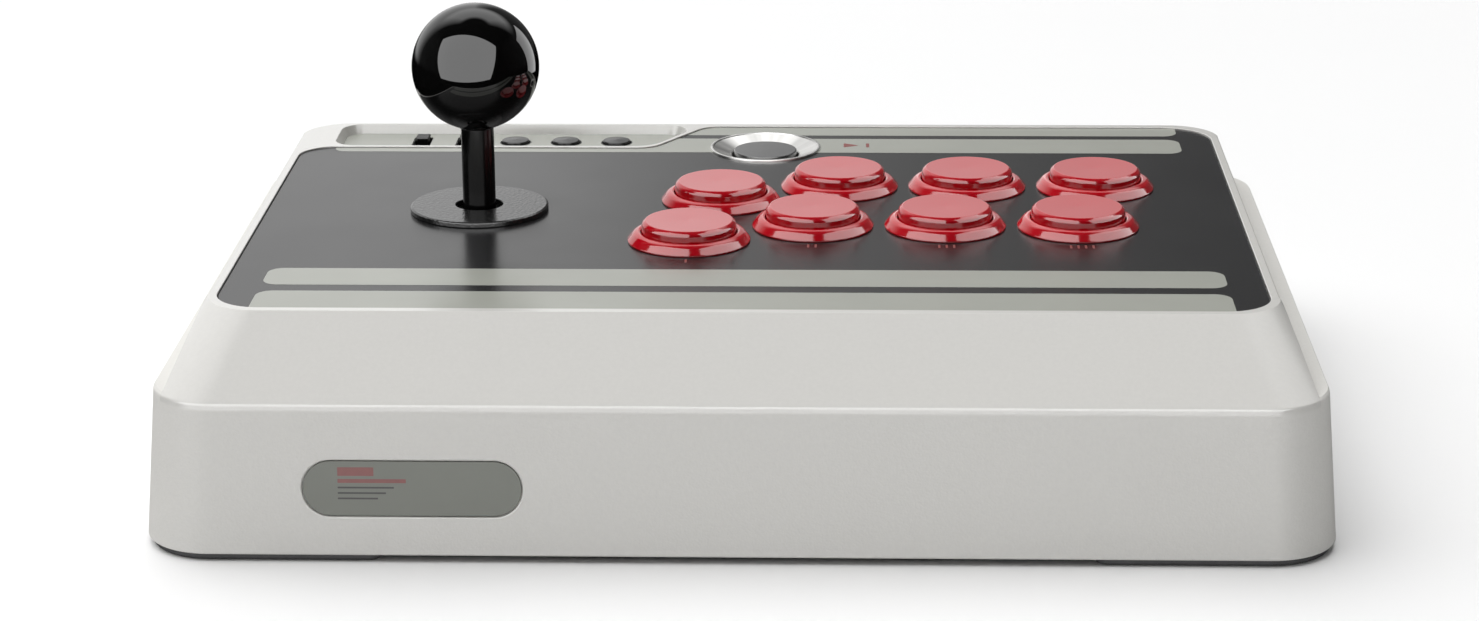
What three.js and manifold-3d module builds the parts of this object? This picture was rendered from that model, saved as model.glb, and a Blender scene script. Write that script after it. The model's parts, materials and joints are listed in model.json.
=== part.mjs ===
// Arcade joystick panel: a ball-top lever and eight push buttons in a low sloped case.
// Millimetres. +X is the player's right, -Y faces the player, +Z is up.
// The origin is the centre of the footprint, on the surface that the feet stand on.
import * as THREE from "three";
import { mergeVertices } from "three/addons/utils/BufferGeometryUtils.js";
import Module from "manifold-3d";

const wasm = await Module();
wasm.setup();

// ---- Driving dimensions ----
const GAP = 0.3; // clearance between neighbouring pieces
const ROUND = 20; // sides of a large round piece
const HOLE_SIDES = 20; // sides of a hole in a plate
const SMALL_ROUND = 12; // sides of a small or hidden round piece
const CORNER_STEPS = 5; // steps in a rounded corner of the case
const ARC_STEPS = 3; // half the steps in a rounded corner of a plate

// Case: rounded rectangles stacked from the base to the rim.
const FOOT_T = 1.5;
const CASE_BOTTOM_Z = FOOT_T + GAP;
const RIM_Z = 56;
const CASE_BASE = { x: 150, front: -111, back: 111, r: 18, z: CASE_BOTTOM_Z };
const CASE_SHOULDER = { x: 147, front: -108, back: 109.5, r: 17, z: 40.3 };
const CASE_RIM = { x: 137.1, front: -80.2, back: 107.5, r: 14, z: RIM_Z };
// The raised top has upright sides, which flare at the front, over a ledge on the lower shell.
const TOP_SIDE = { x: 137.1, turnY: -66.2, flare: 0.183 };
const LEDGE_Z = 40.9;
const DECK_UNDER_Z = 51.3;
const CAVITY = [
  { x: 147.3, front: -108.3, back: 108.3, r: 15.5, z: CASE_BOTTOM_Z - 1 },
  { x: 144.4, front: -105.4, back: 107, r: 14.5, z: 37.6 },
  { x: 134.6, front: -105.2, back: 106.9, r: 12.5, z: 38.6 },
  { x: 134.5, front: -83.4, back: 105, r: 12, z: DECK_UNDER_Z },
];

// Control panel: a plate let into the top of the case.
const PANEL_Z = 55.6;
const PANEL_T = 1.5;
const PANEL_X = 134.55;
const PANEL_FRONT = -77.45;
const PANEL_BACK = 104.75;
const NOTCH_Y = 80; // panel edge in front of the control strip
const NOTCH_LOW_X = -31; // foot and head of the slanting edge beside the strip
const NOTCH_HIGH_X = -16;
const PANEL_SEAT_Z = PANEL_Z - PANEL_T - GAP;

// Control strip: a tray behind the lever, with its own floor plate.
const STRIP_Z = 53.4;
const STRIP_T = 1.2;
const STRIP_FRONT = 82.9;
const STRIP_BACK = 104.9;
const STRIP_LEFT = -125.6;
const STRIP_LOW_X = -32.2;
const STRIP_HIGH_X = -19.5;
const STRIP_SEAT_Z = STRIP_Z - STRIP_T - GAP;
const STRIP_BLOCK_Z = 49.2;

// Lever.
const STICK = { x: -75.5, y: 14.3 };
const PIVOT_Z = 47.5;
const BALL_R = 17.5;
const BALL_Z = 96.43;
const SHAFT_R = 3.5;
const SHAFT_LOW_Z = 6.8;
const SHAFT_TOP_Z = 92;
const COVER_R = 4.55;
const WASHER_R = 19.15;
const WASHER_HOLE_R = 6.55;
const WASHER_T = 1.35;
const PLATE_T = 1.6;
const PLATE_Z = DECK_UNDER_Z - GAP - PLATE_T;
const STICK_HOLE_R = 13;
const HOUSING_HALF = 23;
const HOUSING_Z = 26;
const HOUSING_TOP_Z = PLATE_Z - GAP;
const HOUSING_BORE_R = 12.5;
const RING_R = 11.2;
const RING_BORE_R = 7.6;
const RING_HALF_T = 2.2;
const PIN_R = 1.5;
const PIN_CLEARANCE = 0.1;
const RING_PIN_REACH = 15;
const HUB_R = 6.2;
const HUB_PIN_REACH = 10.5;
const BOARD_T = 1.6;
const SWITCH_BOARD_Z = HOUSING_Z - GAP - BOARD_T;
const SWITCH_FACE = 11.4; // from the lever's axis to a switch's inner face
const ACTUATOR_R = 6.5;
const ACTUATOR_Z = [14.2, 23];
const GATE_Z = 9.2;
const GATE_T = 3;
const GATE_HALF_HOLE = 8.8;

// Play buttons: two staggered rows of four.
const BACK_ROW = [
  [-8.7, 24.5],
  [24.5, 38.9],
  [60.6, 38.9],
  [96.8, 38.9],
];
const FRONT_ROW_SHIFT = [-7.1, -39.7];
const FRONT_ROW = BACK_ROW.map(([x, y]) => [x + FRONT_ROW_SHIFT[0], y + FRONT_ROW_SHIFT[1]]);
const BUTTONS = [...BACK_ROW, ...FRONT_ROW];
const FLANGE_R = 16.6;
const FLANGE_H = 2.9;
const BARREL_R = 14.7;
const BARREL_BORE_R = 13.1;
const BARREL_LOW_Z = 34;
const PLUNGER_R = 12.8;
const PLUNGER_TOP_Z = PANEL_Z + 5.8;
const PLUNGER_SKIRT_Z = 47;
const STEM_R = 3;
const STEM_LOW_Z = 36.8;
const BUTTON_HOLE_R = 15.1;
const SWITCH = { w: 12.8, d: 5.8, low: 25, high: 33.7 };

// Start button.
const START = { x: 2.34, y: 81.23 };
const START_BEZEL_R = 16.23;
const START_LIP = 0.6;
const START_BARREL_R = 14.9;
const START_HOLE_R = 15.2;
const START_CAP_R = 9.42;
const START_CAP_Z = PANEL_Z - 0.5;
const START_BORE_R = 9.75;
const START_LOW_Z = 47.5;
const START_SWITCH_Z = 38;

// Controls in the strip.
const STRIP_BUTTON_X = [-73.1, -57.9, -42.7];
const STRIP_CONTROL_Y = 95.2;
const STRIP_BUTTON_R = 4.1;
const STRIP_BUTTON_HOLE_R = 4.7;
const STRIP_BUTTON_TOP_Z = 54.3;
const SLIDER_X = [-101.3, -88.2];
const SLIDER_SLOT = [5.6, 10.6];
const SLIDER_KNOB = [4.2, 4.8];
const SLIDER_TOP_Z = 54.6;
const SLIDER_Y = 98;
const MAIN_BOARD_Z = 43.4;

// Base, label, inlet and battery.
const BASE_T = 2.2;
const BASE_X = 146.8;
const BASE_Y = 107.8;
const BASE_R = 17;
const BOSS = { x: 133, y: 93, r: 4.2 };
const RIB_REACH = 14; // from a boss to the side wall
const SCREW = { head: 2.9, shank: 1.5, long: 14 };
const LABEL = { x: -80.5, z: 19.1, w: 54.4, h: 14 };
const LABEL_DEPTH = 1.1;
const LABEL_T = 0.6;
const FOOT = { legX: 60, legY: 48, band: 15, inset: 1.2 };
const INLET = { x: 60, z: 18, w: 9, h: 3.3 };
const BATTERY = { x: 40, y: -52, w: 62, d: 36, h: 9 };

// ---- Materials ----
function finish(color, roughness, metalness) {
  return new THREE.MeshStandardMaterial({ color, roughness, metalness });
}

const CASE_PLASTIC = finish(0xd9d7d2, 0.5, 0);
const BLACK_PANEL = finish(0x15161a, 0.3, 0);
const GREY_TRIM = finish(0x8b8f85, 0.6, 0);
const GLOSS_BLACK = finish(0x0a0a0b, 0.12, 0);
const BLACK_PLASTIC = finish(0x1a1a1b, 0.5, 0);
const RED_GLOSS = finish(0xb00016, 0.12, 0);
const STEEL = finish(0xa9abad, 0.35, 1);
const SATIN_BEZEL = finish(0xb5b6b8, 0.4, 1);
const RUBBER = finish(0x2b2c2b, 0.9, 0);
const BOARD_GREEN = finish(0x1e4a30, 0.6, 0);

// ---- Solids ----
function toSolid(geometry) {
  const bare = geometry.clone();
  bare.deleteAttribute("normal");
  bare.deleteAttribute("uv");
  const merged = mergeVertices(bare, 1e-4);
  const vertProperties = new Float32Array(merged.attributes.position.array);
  const triVerts = new Uint32Array(merged.index.array);
  return new wasm.Manifold(new wasm.Mesh({ numProp: 3, vertProperties, triVerts }));
}

function toGeometry(solid) {
  const { numProp, numVert, vertProperties, triVerts } = solid.getMesh();
  const position = new Float32Array(numVert * 3);
  for (let i = 0; i < numVert; i++) {
    position.set(vertProperties.subarray(i * numProp, i * numProp + 3), i * 3);
  }
  const geometry = new THREE.BufferGeometry();
  geometry.setAttribute("position", new THREE.BufferAttribute(position, 3));
  geometry.setIndex(new THREE.BufferAttribute(new Uint32Array(triVerts), 1));
  return geometry;
}

const moved = (geometry, x, y, z) => geometry.translate(x, y, z);

// An upright cylinder between two heights.
function post(radius, low, high, x = 0, y = 0, sides = SMALL_ROUND) {
  const geometry = new THREE.CylinderGeometry(radius, radius, high - low, sides).rotateX(Math.PI / 2);
  return toSolid(moved(geometry, x, y, (low + high) / 2));
}

// A block given by its lowest and highest corners.
function block(low, high) {
  const size = high.map((value, i) => value - low[i]);
  const middle = high.map((value, i) => (value + low[i]) / 2);
  return toSolid(moved(new THREE.BoxGeometry(...size), ...middle));
}

// A round piece from [radius, height] points listed from the bottom up its outside.
function turned(profile, sides = ROUND) {
  const points = profile.map(([r, z]) => new THREE.Vector2(r, z));
  return toSolid(new THREE.LatheGeometry(points, sides).rotateX(Math.PI / 2));
}

// A closed outline whose corners [x, y, radius] are rounded; corners run anticlockwise.
function roundedShape(corners) {
  const shape = new THREE.Shape();
  corners.forEach(([x, y, r], i) => {
    const here = new THREE.Vector2(x, y);
    const [bx, by] = corners[(i + corners.length - 1) % corners.length];
    const [nx, ny] = corners[(i + 1) % corners.length];
    const back = new THREE.Vector2(bx, by).sub(here).normalize();
    const next = new THREE.Vector2(nx, ny).sub(here).normalize();
    const half = Math.acos(back.dot(next)) / 2;
    const reach = r / Math.tan(half);
    const from = here.clone().addScaledVector(back, reach);
    const to = here.clone().addScaledVector(next, reach);
    const centre = here.clone().addScaledVector(back.clone().add(next).normalize(), r / Math.sin(half));
    const leftTurn = back.cross(next) < 0;
    const start = Math.atan2(from.y - centre.y, from.x - centre.x);
    const end = Math.atan2(to.y - centre.y, to.x - centre.x);
    if (i === 0) shape.moveTo(from.x, from.y);
    else shape.lineTo(from.x, from.y);
    shape.absarc(centre.x, centre.y, r, start, end, !leftTurn);
  });
  return shape;
}

function plate(shape, low, high, steps = ARC_STEPS) {
  const depth = high - low;
  const geometry = new THREE.ExtrudeGeometry(shape, { depth, bevelEnabled: false, curveSegments: steps });
  return toSolid(moved(geometry, 0, 0, low));
}

function rectangle(x0, y0, x1, y1, r) {
  const corners = [[x0, y0, r], [x1, y0, r], [x1, y1, r], [x0, y1, r]];
  return roundedShape(corners);
}

// The points of one level of the case.
function levelPoints({ x, front, back, r, z }) {
  const centres = [
    [x - r, front + r, -90],
    [x - r, back - r, 0],
    [r - x, back - r, 90],
    [r - x, front + r, 180],
  ];
  return centres.flatMap(([cx, cy, from]) =>
    Array.from({ length: CORNER_STEPS + 1 }, (_, i) => {
      const angle = THREE.MathUtils.degToRad(from + (90 * i) / CORNER_STEPS);
      return [cx + r * Math.cos(angle), cy + r * Math.sin(angle), z];
    }),
  );
}

// A solid skinned over levels listed from the bottom up.
function loft(levels) {
  const rings = levels.map(levelPoints);
  const count = rings[0].length;
  const index = [];
  for (let level = 0; level + 1 < rings.length; level++) {
    for (let i = 0; i < count; i++) {
      const a = level * count + i;
      const b = level * count + ((i + 1) % count);
      index.push(a, b, b + count, a, b + count, a + count);
    }
  }
  const top = (rings.length - 1) * count;
  for (let i = 1; i + 1 < count; i++) {
    index.push(0, i + 1, i);
    index.push(top, top + i, top + i + 1);
  }
  const geometry = new THREE.BufferGeometry();
  geometry.setAttribute("position", new THREE.Float32BufferAttribute(rings.flat(2), 3));
  geometry.setIndex(index);
  return toSolid(geometry);
}

const joined = (...solids) => solids.reduce((sum, solid) => sum.add(solid));
const cut = (solid, ...tools) => solid.subtract(joined(...tools));
const model = new THREE.Group();

function addPiece(name, solid, material, x = 0, y = 0) {
  const mesh = new THREE.Mesh(toGeometry(solid), material);
  mesh.name = name;
  mesh.position.set(x, y, 0);
  model.add(mesh);
}

// ---- Outlines ----
// The panel's outline grown by a margin, with its notch around the control strip.
function panelShape(grow) {
  const x = PANEL_X + grow;
  const back = PANEL_BACK + grow;
  return roundedShape([
    [-x, PANEL_FRONT - grow, 12],
    [x, PANEL_FRONT - grow, 12],
    [x, back, 14],
    [NOTCH_HIGH_X - grow, back, 8],
    [NOTCH_LOW_X - grow, NOTCH_Y + grow, 8],
    [-x, NOTCH_Y + grow, 10],
  ]);
}

function stripShape(grow) {
  return roundedShape([
    [STRIP_LEFT - grow, STRIP_FRONT - grow, 5],
    [STRIP_LOW_X + grow, STRIP_FRONT - grow, 8],
    [STRIP_HIGH_X + grow, STRIP_BACK + grow, 5],
    [STRIP_LEFT - grow, STRIP_BACK + grow, 5],
  ]);
}

// The label's slot lies square to the front wall, which leans back.
function labelSolid(grow, nearDepth, farDepth) {
  const lean = Math.atan2(CASE_SHOULDER.front - CASE_BASE.front, CASE_SHOULDER.z - CASE_BASE.z);
  const rise = (LABEL.z - CASE_BASE.z) / (CASE_SHOULDER.z - CASE_BASE.z);
  const wallY = CASE_BASE.front + rise * (CASE_SHOULDER.front - CASE_BASE.front);
  const w = LABEL.w / 2 + grow;
  const h = LABEL.h / 2 + grow;
  const shape = rectangle(-w, -h, w, h, h - 0.2);
  const depth = farDepth - nearDepth;
  const options = { depth, bevelEnabled: false, curveSegments: CORNER_STEPS };
  const geometry = new THREE.ExtrudeGeometry(shape, options);
  geometry.translate(0, 0, -farDepth);
  geometry.rotateX(Math.PI / 2 - lean);
  return toSolid(moved(geometry, LABEL.x, wallY, LABEL.z));
}

// ---- Case ----
function buttonHoles(radius, low, high) {
  return joined(...BUTTONS.map(([x, y]) => post(radius, low, high, x, y, HOLE_SIDES)));
}

function deckHoles(low, high) {
  return joined(
    buttonHoles(BUTTON_HOLE_R, low, high),
    post(START_HOLE_R, low, high, START.x, START.y, HOLE_SIDES),
    post(STICK_HOLE_R, low, high, STICK.x, STICK.y, HOLE_SIDES),
  );
}

function stripHoles(low, high) {
  const [w, d] = SLIDER_SLOT;
  const [half, reach] = [w / 2, d / 2];
  const rounds = STRIP_BUTTON_X.map((x) => post(STRIP_BUTTON_HOLE_R, low, high, x, STRIP_CONTROL_Y));
  const slots = SLIDER_X.map((x) =>
    block([x - half, STRIP_CONTROL_Y - reach, low], [x + half, STRIP_CONTROL_Y + reach, high]),
  );
  return joined(...rounds, ...slots);
}

// The space beside the raised top, above the ledge.
function ledgeTools() {
  const { x, turnY, flare } = TOP_SIDE;
  const [far, out] = [130, 160];
  const outline = [[x, far], [x, turnY], [x + flare * (far + turnY), -far], [out, -far], [out, far]];
  return [-1, 1].map((side) => {
    const shape = new THREE.Shape(outline.map(([px, py]) => new THREE.Vector2(side * px, py)));
    return plate(shape, LEDGE_Z, RIM_Z + 1);
  });
}

const corners = [[-1, -1], [1, -1], [1, 1], [-1, 1]];

function topCase() {
  const shell = cut(loft([CASE_BASE, CASE_SHOULDER, CASE_RIM]), loft(CAVITY));
  const bosses = corners.map(([sx, sy]) =>
    post(BOSS.r, CASE_BOTTOM_Z + BASE_T + GAP, DECK_UNDER_Z - 2, sx * BOSS.x, sy * BOSS.y),
  );
  const bossRibs = corners.map(([sx, sy]) => {
    const [x, y] = [sx * BOSS.x, sy * BOSS.y];
    return block([x - 1 - RIB_REACH * (sx < 0), y - 1, 10], [x + 1 + RIB_REACH * (sx > 0), y + 1, 36]);
  });
  const inside = loft([CASE_BASE, CASE_SHOULDER, CASE_RIM]);
  const fittings = joined(...bosses, ...bossRibs).intersect(inside);
  const stripBlock = block(
    [STRIP_LEFT - 3, STRIP_FRONT - 2.5, STRIP_BLOCK_Z],
    [-14, 105.6, DECK_UNDER_Z + 0.5],
  );
  const boardTop = MAIN_BOARD_Z + BOARD_T;
  const boardPosts = [-123, -23].map((x) => post(2.2, boardTop + GAP, STRIP_BLOCK_Z + 1, x, 92));
  const screwHoles = corners.map(([sx, sy]) =>
    post(SCREW.shank + GAP, 0, 20, sx * BOSS.x, sy * BOSS.y),
  );
  const inlet = block(
    [INLET.x - INLET.w / 2 - GAP, 100, INLET.z - INLET.h / 2 - GAP],
    [INLET.x + INLET.w / 2 + GAP, 120, INLET.z + INLET.h / 2 + GAP],
  );
  return cut(
    joined(shell, fittings, stripBlock, ...boardPosts),
    plate(panelShape(GAP), PANEL_SEAT_Z, RIM_Z + 1),
    plate(stripShape(GAP), STRIP_SEAT_Z, RIM_Z + 1),
    deckHoles(STRIP_BLOCK_Z - 1, RIM_Z),
    stripHoles(STRIP_BLOCK_Z - 1, RIM_Z),
    labelSolid(GAP, -1, LABEL_DEPTH),
    inlet,
    ...screwHoles,
    ...ledgeTools(),
  );
}

function basePlate() {
  const low = CASE_BOTTOM_Z;
  const high = low + BASE_T;
  const holes = corners.flatMap(([sx, sy]) => [
    post(SCREW.shank + GAP, low - 1, high + 1, sx * BOSS.x, sy * BOSS.y),
    post(SCREW.head + GAP, low - 1, low + 1.5, sx * BOSS.x, sy * BOSS.y),
  ]);
  return cut(plate(rectangle(-BASE_X, -BASE_Y, BASE_X, BASE_Y, BASE_R), low, high), ...holes);
}

// A rubber pad that follows one rounded corner of the base.
function foot(sx, sy) {
  const x = CASE_BASE.x - FOOT.inset;
  const y = CASE_BASE.back - FOOT.inset;
  const outline = [
    [x, y, 16.5],
    [x - FOOT.legX, y, 2],
    [x - FOOT.legX, y - FOOT.band, 2],
    [x - FOOT.band - 6, y - FOOT.band, 6],
    [x - FOOT.band, y - FOOT.band - 6, 6],
    [x - FOOT.band, y - FOOT.legY, 2],
    [x, y - FOOT.legY, 2],
  ].map(([px, py, r]) => [sx * px, sy * py, r]);
  if (sx * sy < 0) outline.reverse();
  const screwWell = post(SCREW.head + 1, -1, FOOT_T + 1, sx * BOSS.x, sy * BOSS.y);
  return cut(plate(roundedShape(outline), 0, FOOT_T), screwWell);
}

function caseScrew() {
  const low = CASE_BOTTOM_Z + 0.1;
  return turned(
    [
      [0, low],
      [SCREW.head, low],
      [SCREW.head, low + 1.1],
      [SCREW.shank, low + 1.1],
      [SCREW.shank, low + SCREW.long],
      [0, low + SCREW.long],
    ],
    SMALL_ROUND,
  );
}

function addCase() {
  addPiece("top_case", topCase(), CASE_PLASTIC);
  addPiece("base_plate", basePlate(), BLACK_PLASTIC);
  const panel = cut(plate(panelShape(0), PANEL_Z - PANEL_T, PANEL_Z), deckHoles(PANEL_Z - 3, PANEL_Z + 1));
  addPiece("control_panel", panel, BLACK_PANEL);
  const strip = cut(plate(stripShape(0), STRIP_Z - STRIP_T, STRIP_Z), stripHoles(STRIP_Z - 3, STRIP_Z + 1));
  addPiece("control_strip", strip, GREY_TRIM);
  addPiece("front_label", labelSolid(0, LABEL_DEPTH - GAP - LABEL_T, LABEL_DEPTH - GAP), GREY_TRIM);
  const places = ["front_left", "front_right", "back_right", "back_left"];
  places.forEach((place, i) => {
    const [sx, sy] = corners[i];
    addPiece("foot_" + place, foot(sx, sy), RUBBER);
    addPiece("case_screw_" + place, caseScrew(), STEEL, sx * BOSS.x, sy * BOSS.y);
  });
}

// ---- Electronics ----
function mainBoard() {
  const high = MAIN_BOARD_Z + BOARD_T;
  const board = block([-128, 84.2, MAIN_BOARD_Z], [-17, 103.6, high]);
  const tactSwitches = STRIP_BUTTON_X.map((x) =>
    block([x - 3, STRIP_CONTROL_Y - 3, high - 0.1], [x + 3, STRIP_CONTROL_Y + 3, high + 2.2]),
  );
  const slideSwitches = SLIDER_X.map((x) =>
    block([x - 2, STRIP_CONTROL_Y - 5.5, high - 0.1], [x + 2, STRIP_CONTROL_Y + 5.5, high + 2.2]),
  );
  const processor = block([-64, 87, MAIN_BOARD_Z - 1.2], [-52, 99, MAIN_BOARD_Z + 0.1]);
  const connectors = [-116, -32].map((x) =>
    block([x - 4, 88, MAIN_BOARD_Z - 5], [x + 4, 94, MAIN_BOARD_Z + 0.1]),
  );
  return joined(board, ...tactSwitches, ...slideSwitches, processor, ...connectors);
}

// A metal receptacle shell whose mouth lies flush with the back wall.
function inletPort() {
  const [w, h] = [INLET.w / 2, INLET.h / 2];
  const mouthY = 109.4;
  const shell = block([INLET.x - w, mouthY - 8, INLET.z - h], [INLET.x + w, mouthY, INLET.z + h]);
  const hollow = block(
    [INLET.x - w + 0.5, mouthY - 6, INLET.z - h + 0.5],
    [INLET.x + w - 0.5, 120, INLET.z + h - 0.5],
  );
  const tongue = block(
    [INLET.x - 3.2, mouthY - 6.5, INLET.z - 0.35],
    [INLET.x + 3.2, mouthY - 1.5, INLET.z + 0.35],
  );
  return joined(cut(shell, hollow), tongue);
}

function addElectronics() {
  addPiece("main_board", mainBoard(), BOARD_GREEN);
  addPiece("inlet_port", inletPort(), STEEL);
  const low = CASE_BOTTOM_Z + BASE_T + GAP;
  const { x, y, w, d, h } = BATTERY;
  const cell = plate(rectangle(x - w / 2, y - d / 2, x + w / 2, y + d / 2, 3), low, low + h);
  addPiece("battery_pack", cell, BLACK_PLASTIC);
}

// ---- Lever, drawn about its own axis ----
function ballTop() {
  const sphere = new THREE.SphereGeometry(BALL_R, ROUND, 14);
  const ball = toSolid(sphere.rotateX(Math.PI / 2).translate(0, 0, BALL_Z));
  const socket = post(SHAFT_R + 0.2, BALL_Z - BALL_R - 1, SHAFT_TOP_Z + GAP);
  const seat = block([-9, -9, BALL_Z - BALL_R - 1], [9, 9, BALL_Z - BALL_R + 0.5]);
  return cut(ball, socket, seat);
}

// A pin lying along X or Y through the pivot.
function pivotPin(along, reach, radius) {
  const geometry = new THREE.CylinderGeometry(radius, radius, 2 * reach, SMALL_ROUND);
  if (along === "x") geometry.rotateZ(Math.PI / 2);
  return toSolid(moved(geometry, 0, 0, PIVOT_Z));
}

function leverShaft() {
  const rod = post(SHAFT_R, SHAFT_LOW_Z, SHAFT_TOP_Z);
  const hub = post(HUB_R, PIVOT_Z - RING_HALF_T, PIVOT_Z + RING_HALF_T);
  const clipGroove = cut(post(SHAFT_R + 1, 12.6, 13.5), post(SHAFT_R - 0.8, 12, 14));
  return cut(joined(rod, hub, pivotPin("y", HUB_PIN_REACH, PIN_R)), clipGroove);
}

function shaftCover() {
  const low = PIVOT_Z + RING_HALF_T + GAP;
  const high = BALL_Z - BALL_R + 0.2;
  return cut(post(COVER_R, low, high, 0, 0, ROUND), post(SHAFT_R + 0.2, low - 1, high + 1));
}

function pivotRing() {
  const ring = post(RING_R, PIVOT_Z - RING_HALF_T, PIVOT_Z + RING_HALF_T, 0, 0, ROUND);
  const bore = post(RING_BORE_R, PIVOT_Z - 5, PIVOT_Z + 5, 0, 0, ROUND);
  const bearing = pivotPin("y", RING_R + 1, PIN_R + PIN_CLEARANCE);
  return cut(joined(ring, pivotPin("x", RING_PIN_REACH, PIN_R)), bore, bearing);
}

// A coil spring from a round wire swept along a helix.
function centeringSpring() {
  const [low, high, coilR, wireR, turns] = [25, 43.8, 5.3, 0.6, 5];
  const steps = turns * 9;
  const points = Array.from({ length: steps + 1 }, (_, i) => {
    const angle = (2 * Math.PI * turns * i) / steps;
    const height = low + ((high - low) * i) / steps;
    return new THREE.Vector3(coilR * Math.cos(angle), coilR * Math.sin(angle), height);
  });
  const wire = new THREE.Shape().absarc(0, 0, wireR, 0, 2 * Math.PI);
  const extrudePath = new THREE.CatmullRomCurve3(points);
  return toSolid(new THREE.ExtrudeGeometry(wire, { extrudePath, steps, curveSegments: 3 }));
}

function actuator() {
  const [low, high] = ACTUATOR_Z;
  return turned(
    [
      [SHAFT_R + 0.2, low],
      [ACTUATOR_R - 1, low],
      [ACTUATOR_R, low + 1],
      [ACTUATOR_R, high - 1],
      [ACTUATOR_R - 1, high],
      [SHAFT_R + 0.2, high],
      [SHAFT_R + 0.2, low],
    ],
    SMALL_ROUND,
  );
}

function retainingClip() {
  const ring = cut(post(SHAFT_R + 2, 12.8, 13.4), post(SHAFT_R - 0.5, 12, 14));
  const mouth = block([-2, -8, 12], [2, 0, 14]);
  return cut(ring, mouth);
}

function dustWasher() {
  const low = PANEL_Z + GAP;
  const high = low + WASHER_T;
  return turned([[WASHER_HOLE_R, low], [WASHER_R, low], [WASHER_R, high - 0.5], [WASHER_R - 0.5, high],
    [WASHER_HOLE_R, high], [WASHER_HOLE_R, low]]);
}

function mountingPlate() {
  const [w, d, edge] = [27, 47, 5];
  const blank = plate(rectangle(-w, -d, w, d, edge), PLATE_Z, PLATE_Z + PLATE_T);
  const screwHoles = corners.map(([sx, sy]) =>
    post(2, PLATE_Z - 1, 52, sx * (w - edge), sy * (d - edge), 12),
  );
  return cut(blank, post(STICK_HOLE_R, PLATE_Z - 1, 52, 0, 0, ROUND), ...screwHoles);
}

function stickHousing() {
  const h = HOUSING_HALF;
  const body = plate(rectangle(-h, -h, h, h, 4), HOUSING_Z, HOUSING_TOP_Z);
  const flange = plate(rectangle(-h - 5, -h - 5, h + 5, h + 5, 4), HOUSING_Z, HOUSING_Z + 3);
  const bore = post(HOUSING_BORE_R, HOUSING_Z - 1, HOUSING_TOP_Z + 1, 0, 0, ROUND);
  const slotR = PIN_R + PIN_CLEARANCE;
  const reach = RING_PIN_REACH + 0.5;
  const saddle = pivotPin("x", reach, slotR);
  const throat = block([-reach, -slotR, PIVOT_Z], [reach, slotR, HOUSING_TOP_Z + 1]);
  return cut(joined(body, flange), bore, saddle, throat);
}

// Four switches hang under one board, one on each side of the lever.
function stickSwitchBoard() {
  const h = HOUSING_HALF + 5;
  const board = plate(rectangle(-h, -h, h, h, 4), SWITCH_BOARD_Z, SWITCH_BOARD_Z + BOARD_T);
  const bore = post(10, SWITCH_BOARD_Z - 1, HOUSING_Z, 0, 0, ROUND);
  const [near, far, half] = [SWITCH_FACE, SWITCH_FACE + 6.4, 9.9];
  const [low, high] = [14.4, SWITCH_BOARD_Z + 0.1];
  const switches = [
    block([near, -half, low], [far, half, high]),
    block([-far, -half, low], [-near, half, high]),
    block([-half, near, low], [half, far, high]),
    block([-half, -far, low], [half, -near, high]),
  ];
  return joined(cut(board, bore), ...switches);
}

function restrictorGate() {
  const h = HOUSING_HALF + 5;
  const blank = plate(rectangle(-h, -h, h, h, 4), GATE_Z, GATE_Z + GATE_T);
  const hole = rectangle(-GATE_HALF_HOLE, -GATE_HALF_HOLE, GATE_HALF_HOLE, GATE_HALF_HOLE, 3);
  const posts = corners.map(([sx, sy]) =>
    post(2.5, GATE_Z + GATE_T - 0.1, SWITCH_BOARD_Z - GAP, sx * (h - 4), sy * (h - 4), 12),
  );
  return joined(cut(blank, plate(hole, GATE_Z - 1, GATE_Z + GATE_T + 1)), ...posts);
}

function addLever() {
  const pieces = [
    ["ball_top", ballTop(), GLOSS_BLACK],
    ["lever_shaft", leverShaft(), STEEL],
    ["shaft_cover", shaftCover(), GLOSS_BLACK],
    ["pivot_ring", pivotRing(), BLACK_PLASTIC],
    ["centering_spring", centeringSpring(), STEEL],
    ["actuator_collar", actuator(), BLACK_PLASTIC],
    ["retaining_clip", retainingClip(), STEEL],
    ["dust_washer", dustWasher(), BLACK_PLASTIC],
    ["mounting_plate", mountingPlate(), STEEL],
    ["stick_housing", stickHousing(), BLACK_PLASTIC],
    ["stick_switch_board", stickSwitchBoard(), BOARD_GREEN],
    ["restrictor_gate", restrictorGate(), BLACK_PLASTIC],
  ];
  for (const [name, solid, material] of pieces) addPiece(name, solid, material, STICK.x, STICK.y);
}

// ---- Play buttons, drawn about their own axis ----
function buttonHousing() {
  const seat = PANEL_Z + GAP;
  const crest = PANEL_Z + FLANGE_H;
  const barrel = turned([
    [STEM_R + 1, BARREL_LOW_Z],
    [BARREL_R, BARREL_LOW_Z],
    [BARREL_R, seat],
    [FLANGE_R, seat],
    [FLANGE_R, seat + 0.5],
    [FLANGE_R - 2.2, crest],
    [BARREL_BORE_R, crest - 0.2],
    [BARREL_BORE_R, BARREL_LOW_Z + 1.5],
    [STEM_R + 1, BARREL_LOW_Z + 1.5],
    [STEM_R + 1, BARREL_LOW_Z],
  ]);
  const tabs = [-1, 1].map((side) =>
    block([side * 15.2 - 1, -3, DECK_UNDER_Z - 4], [side * 15.2 + 1, 3, DECK_UNDER_Z - GAP]),
  );
  return joined(barrel, ...tabs);
}

function buttonPlunger() {
  const top = PLUNGER_TOP_Z;
  return turned([
    [0, STEM_LOW_Z],
    [STEM_R, STEM_LOW_Z],
    [STEM_R, PLUNGER_SKIRT_Z],
    [PLUNGER_R, PLUNGER_SKIRT_Z],
    [PLUNGER_R, top - 0.7],
    [PLUNGER_R - 0.7, top],
    [0, top],
  ]);
}

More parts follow.
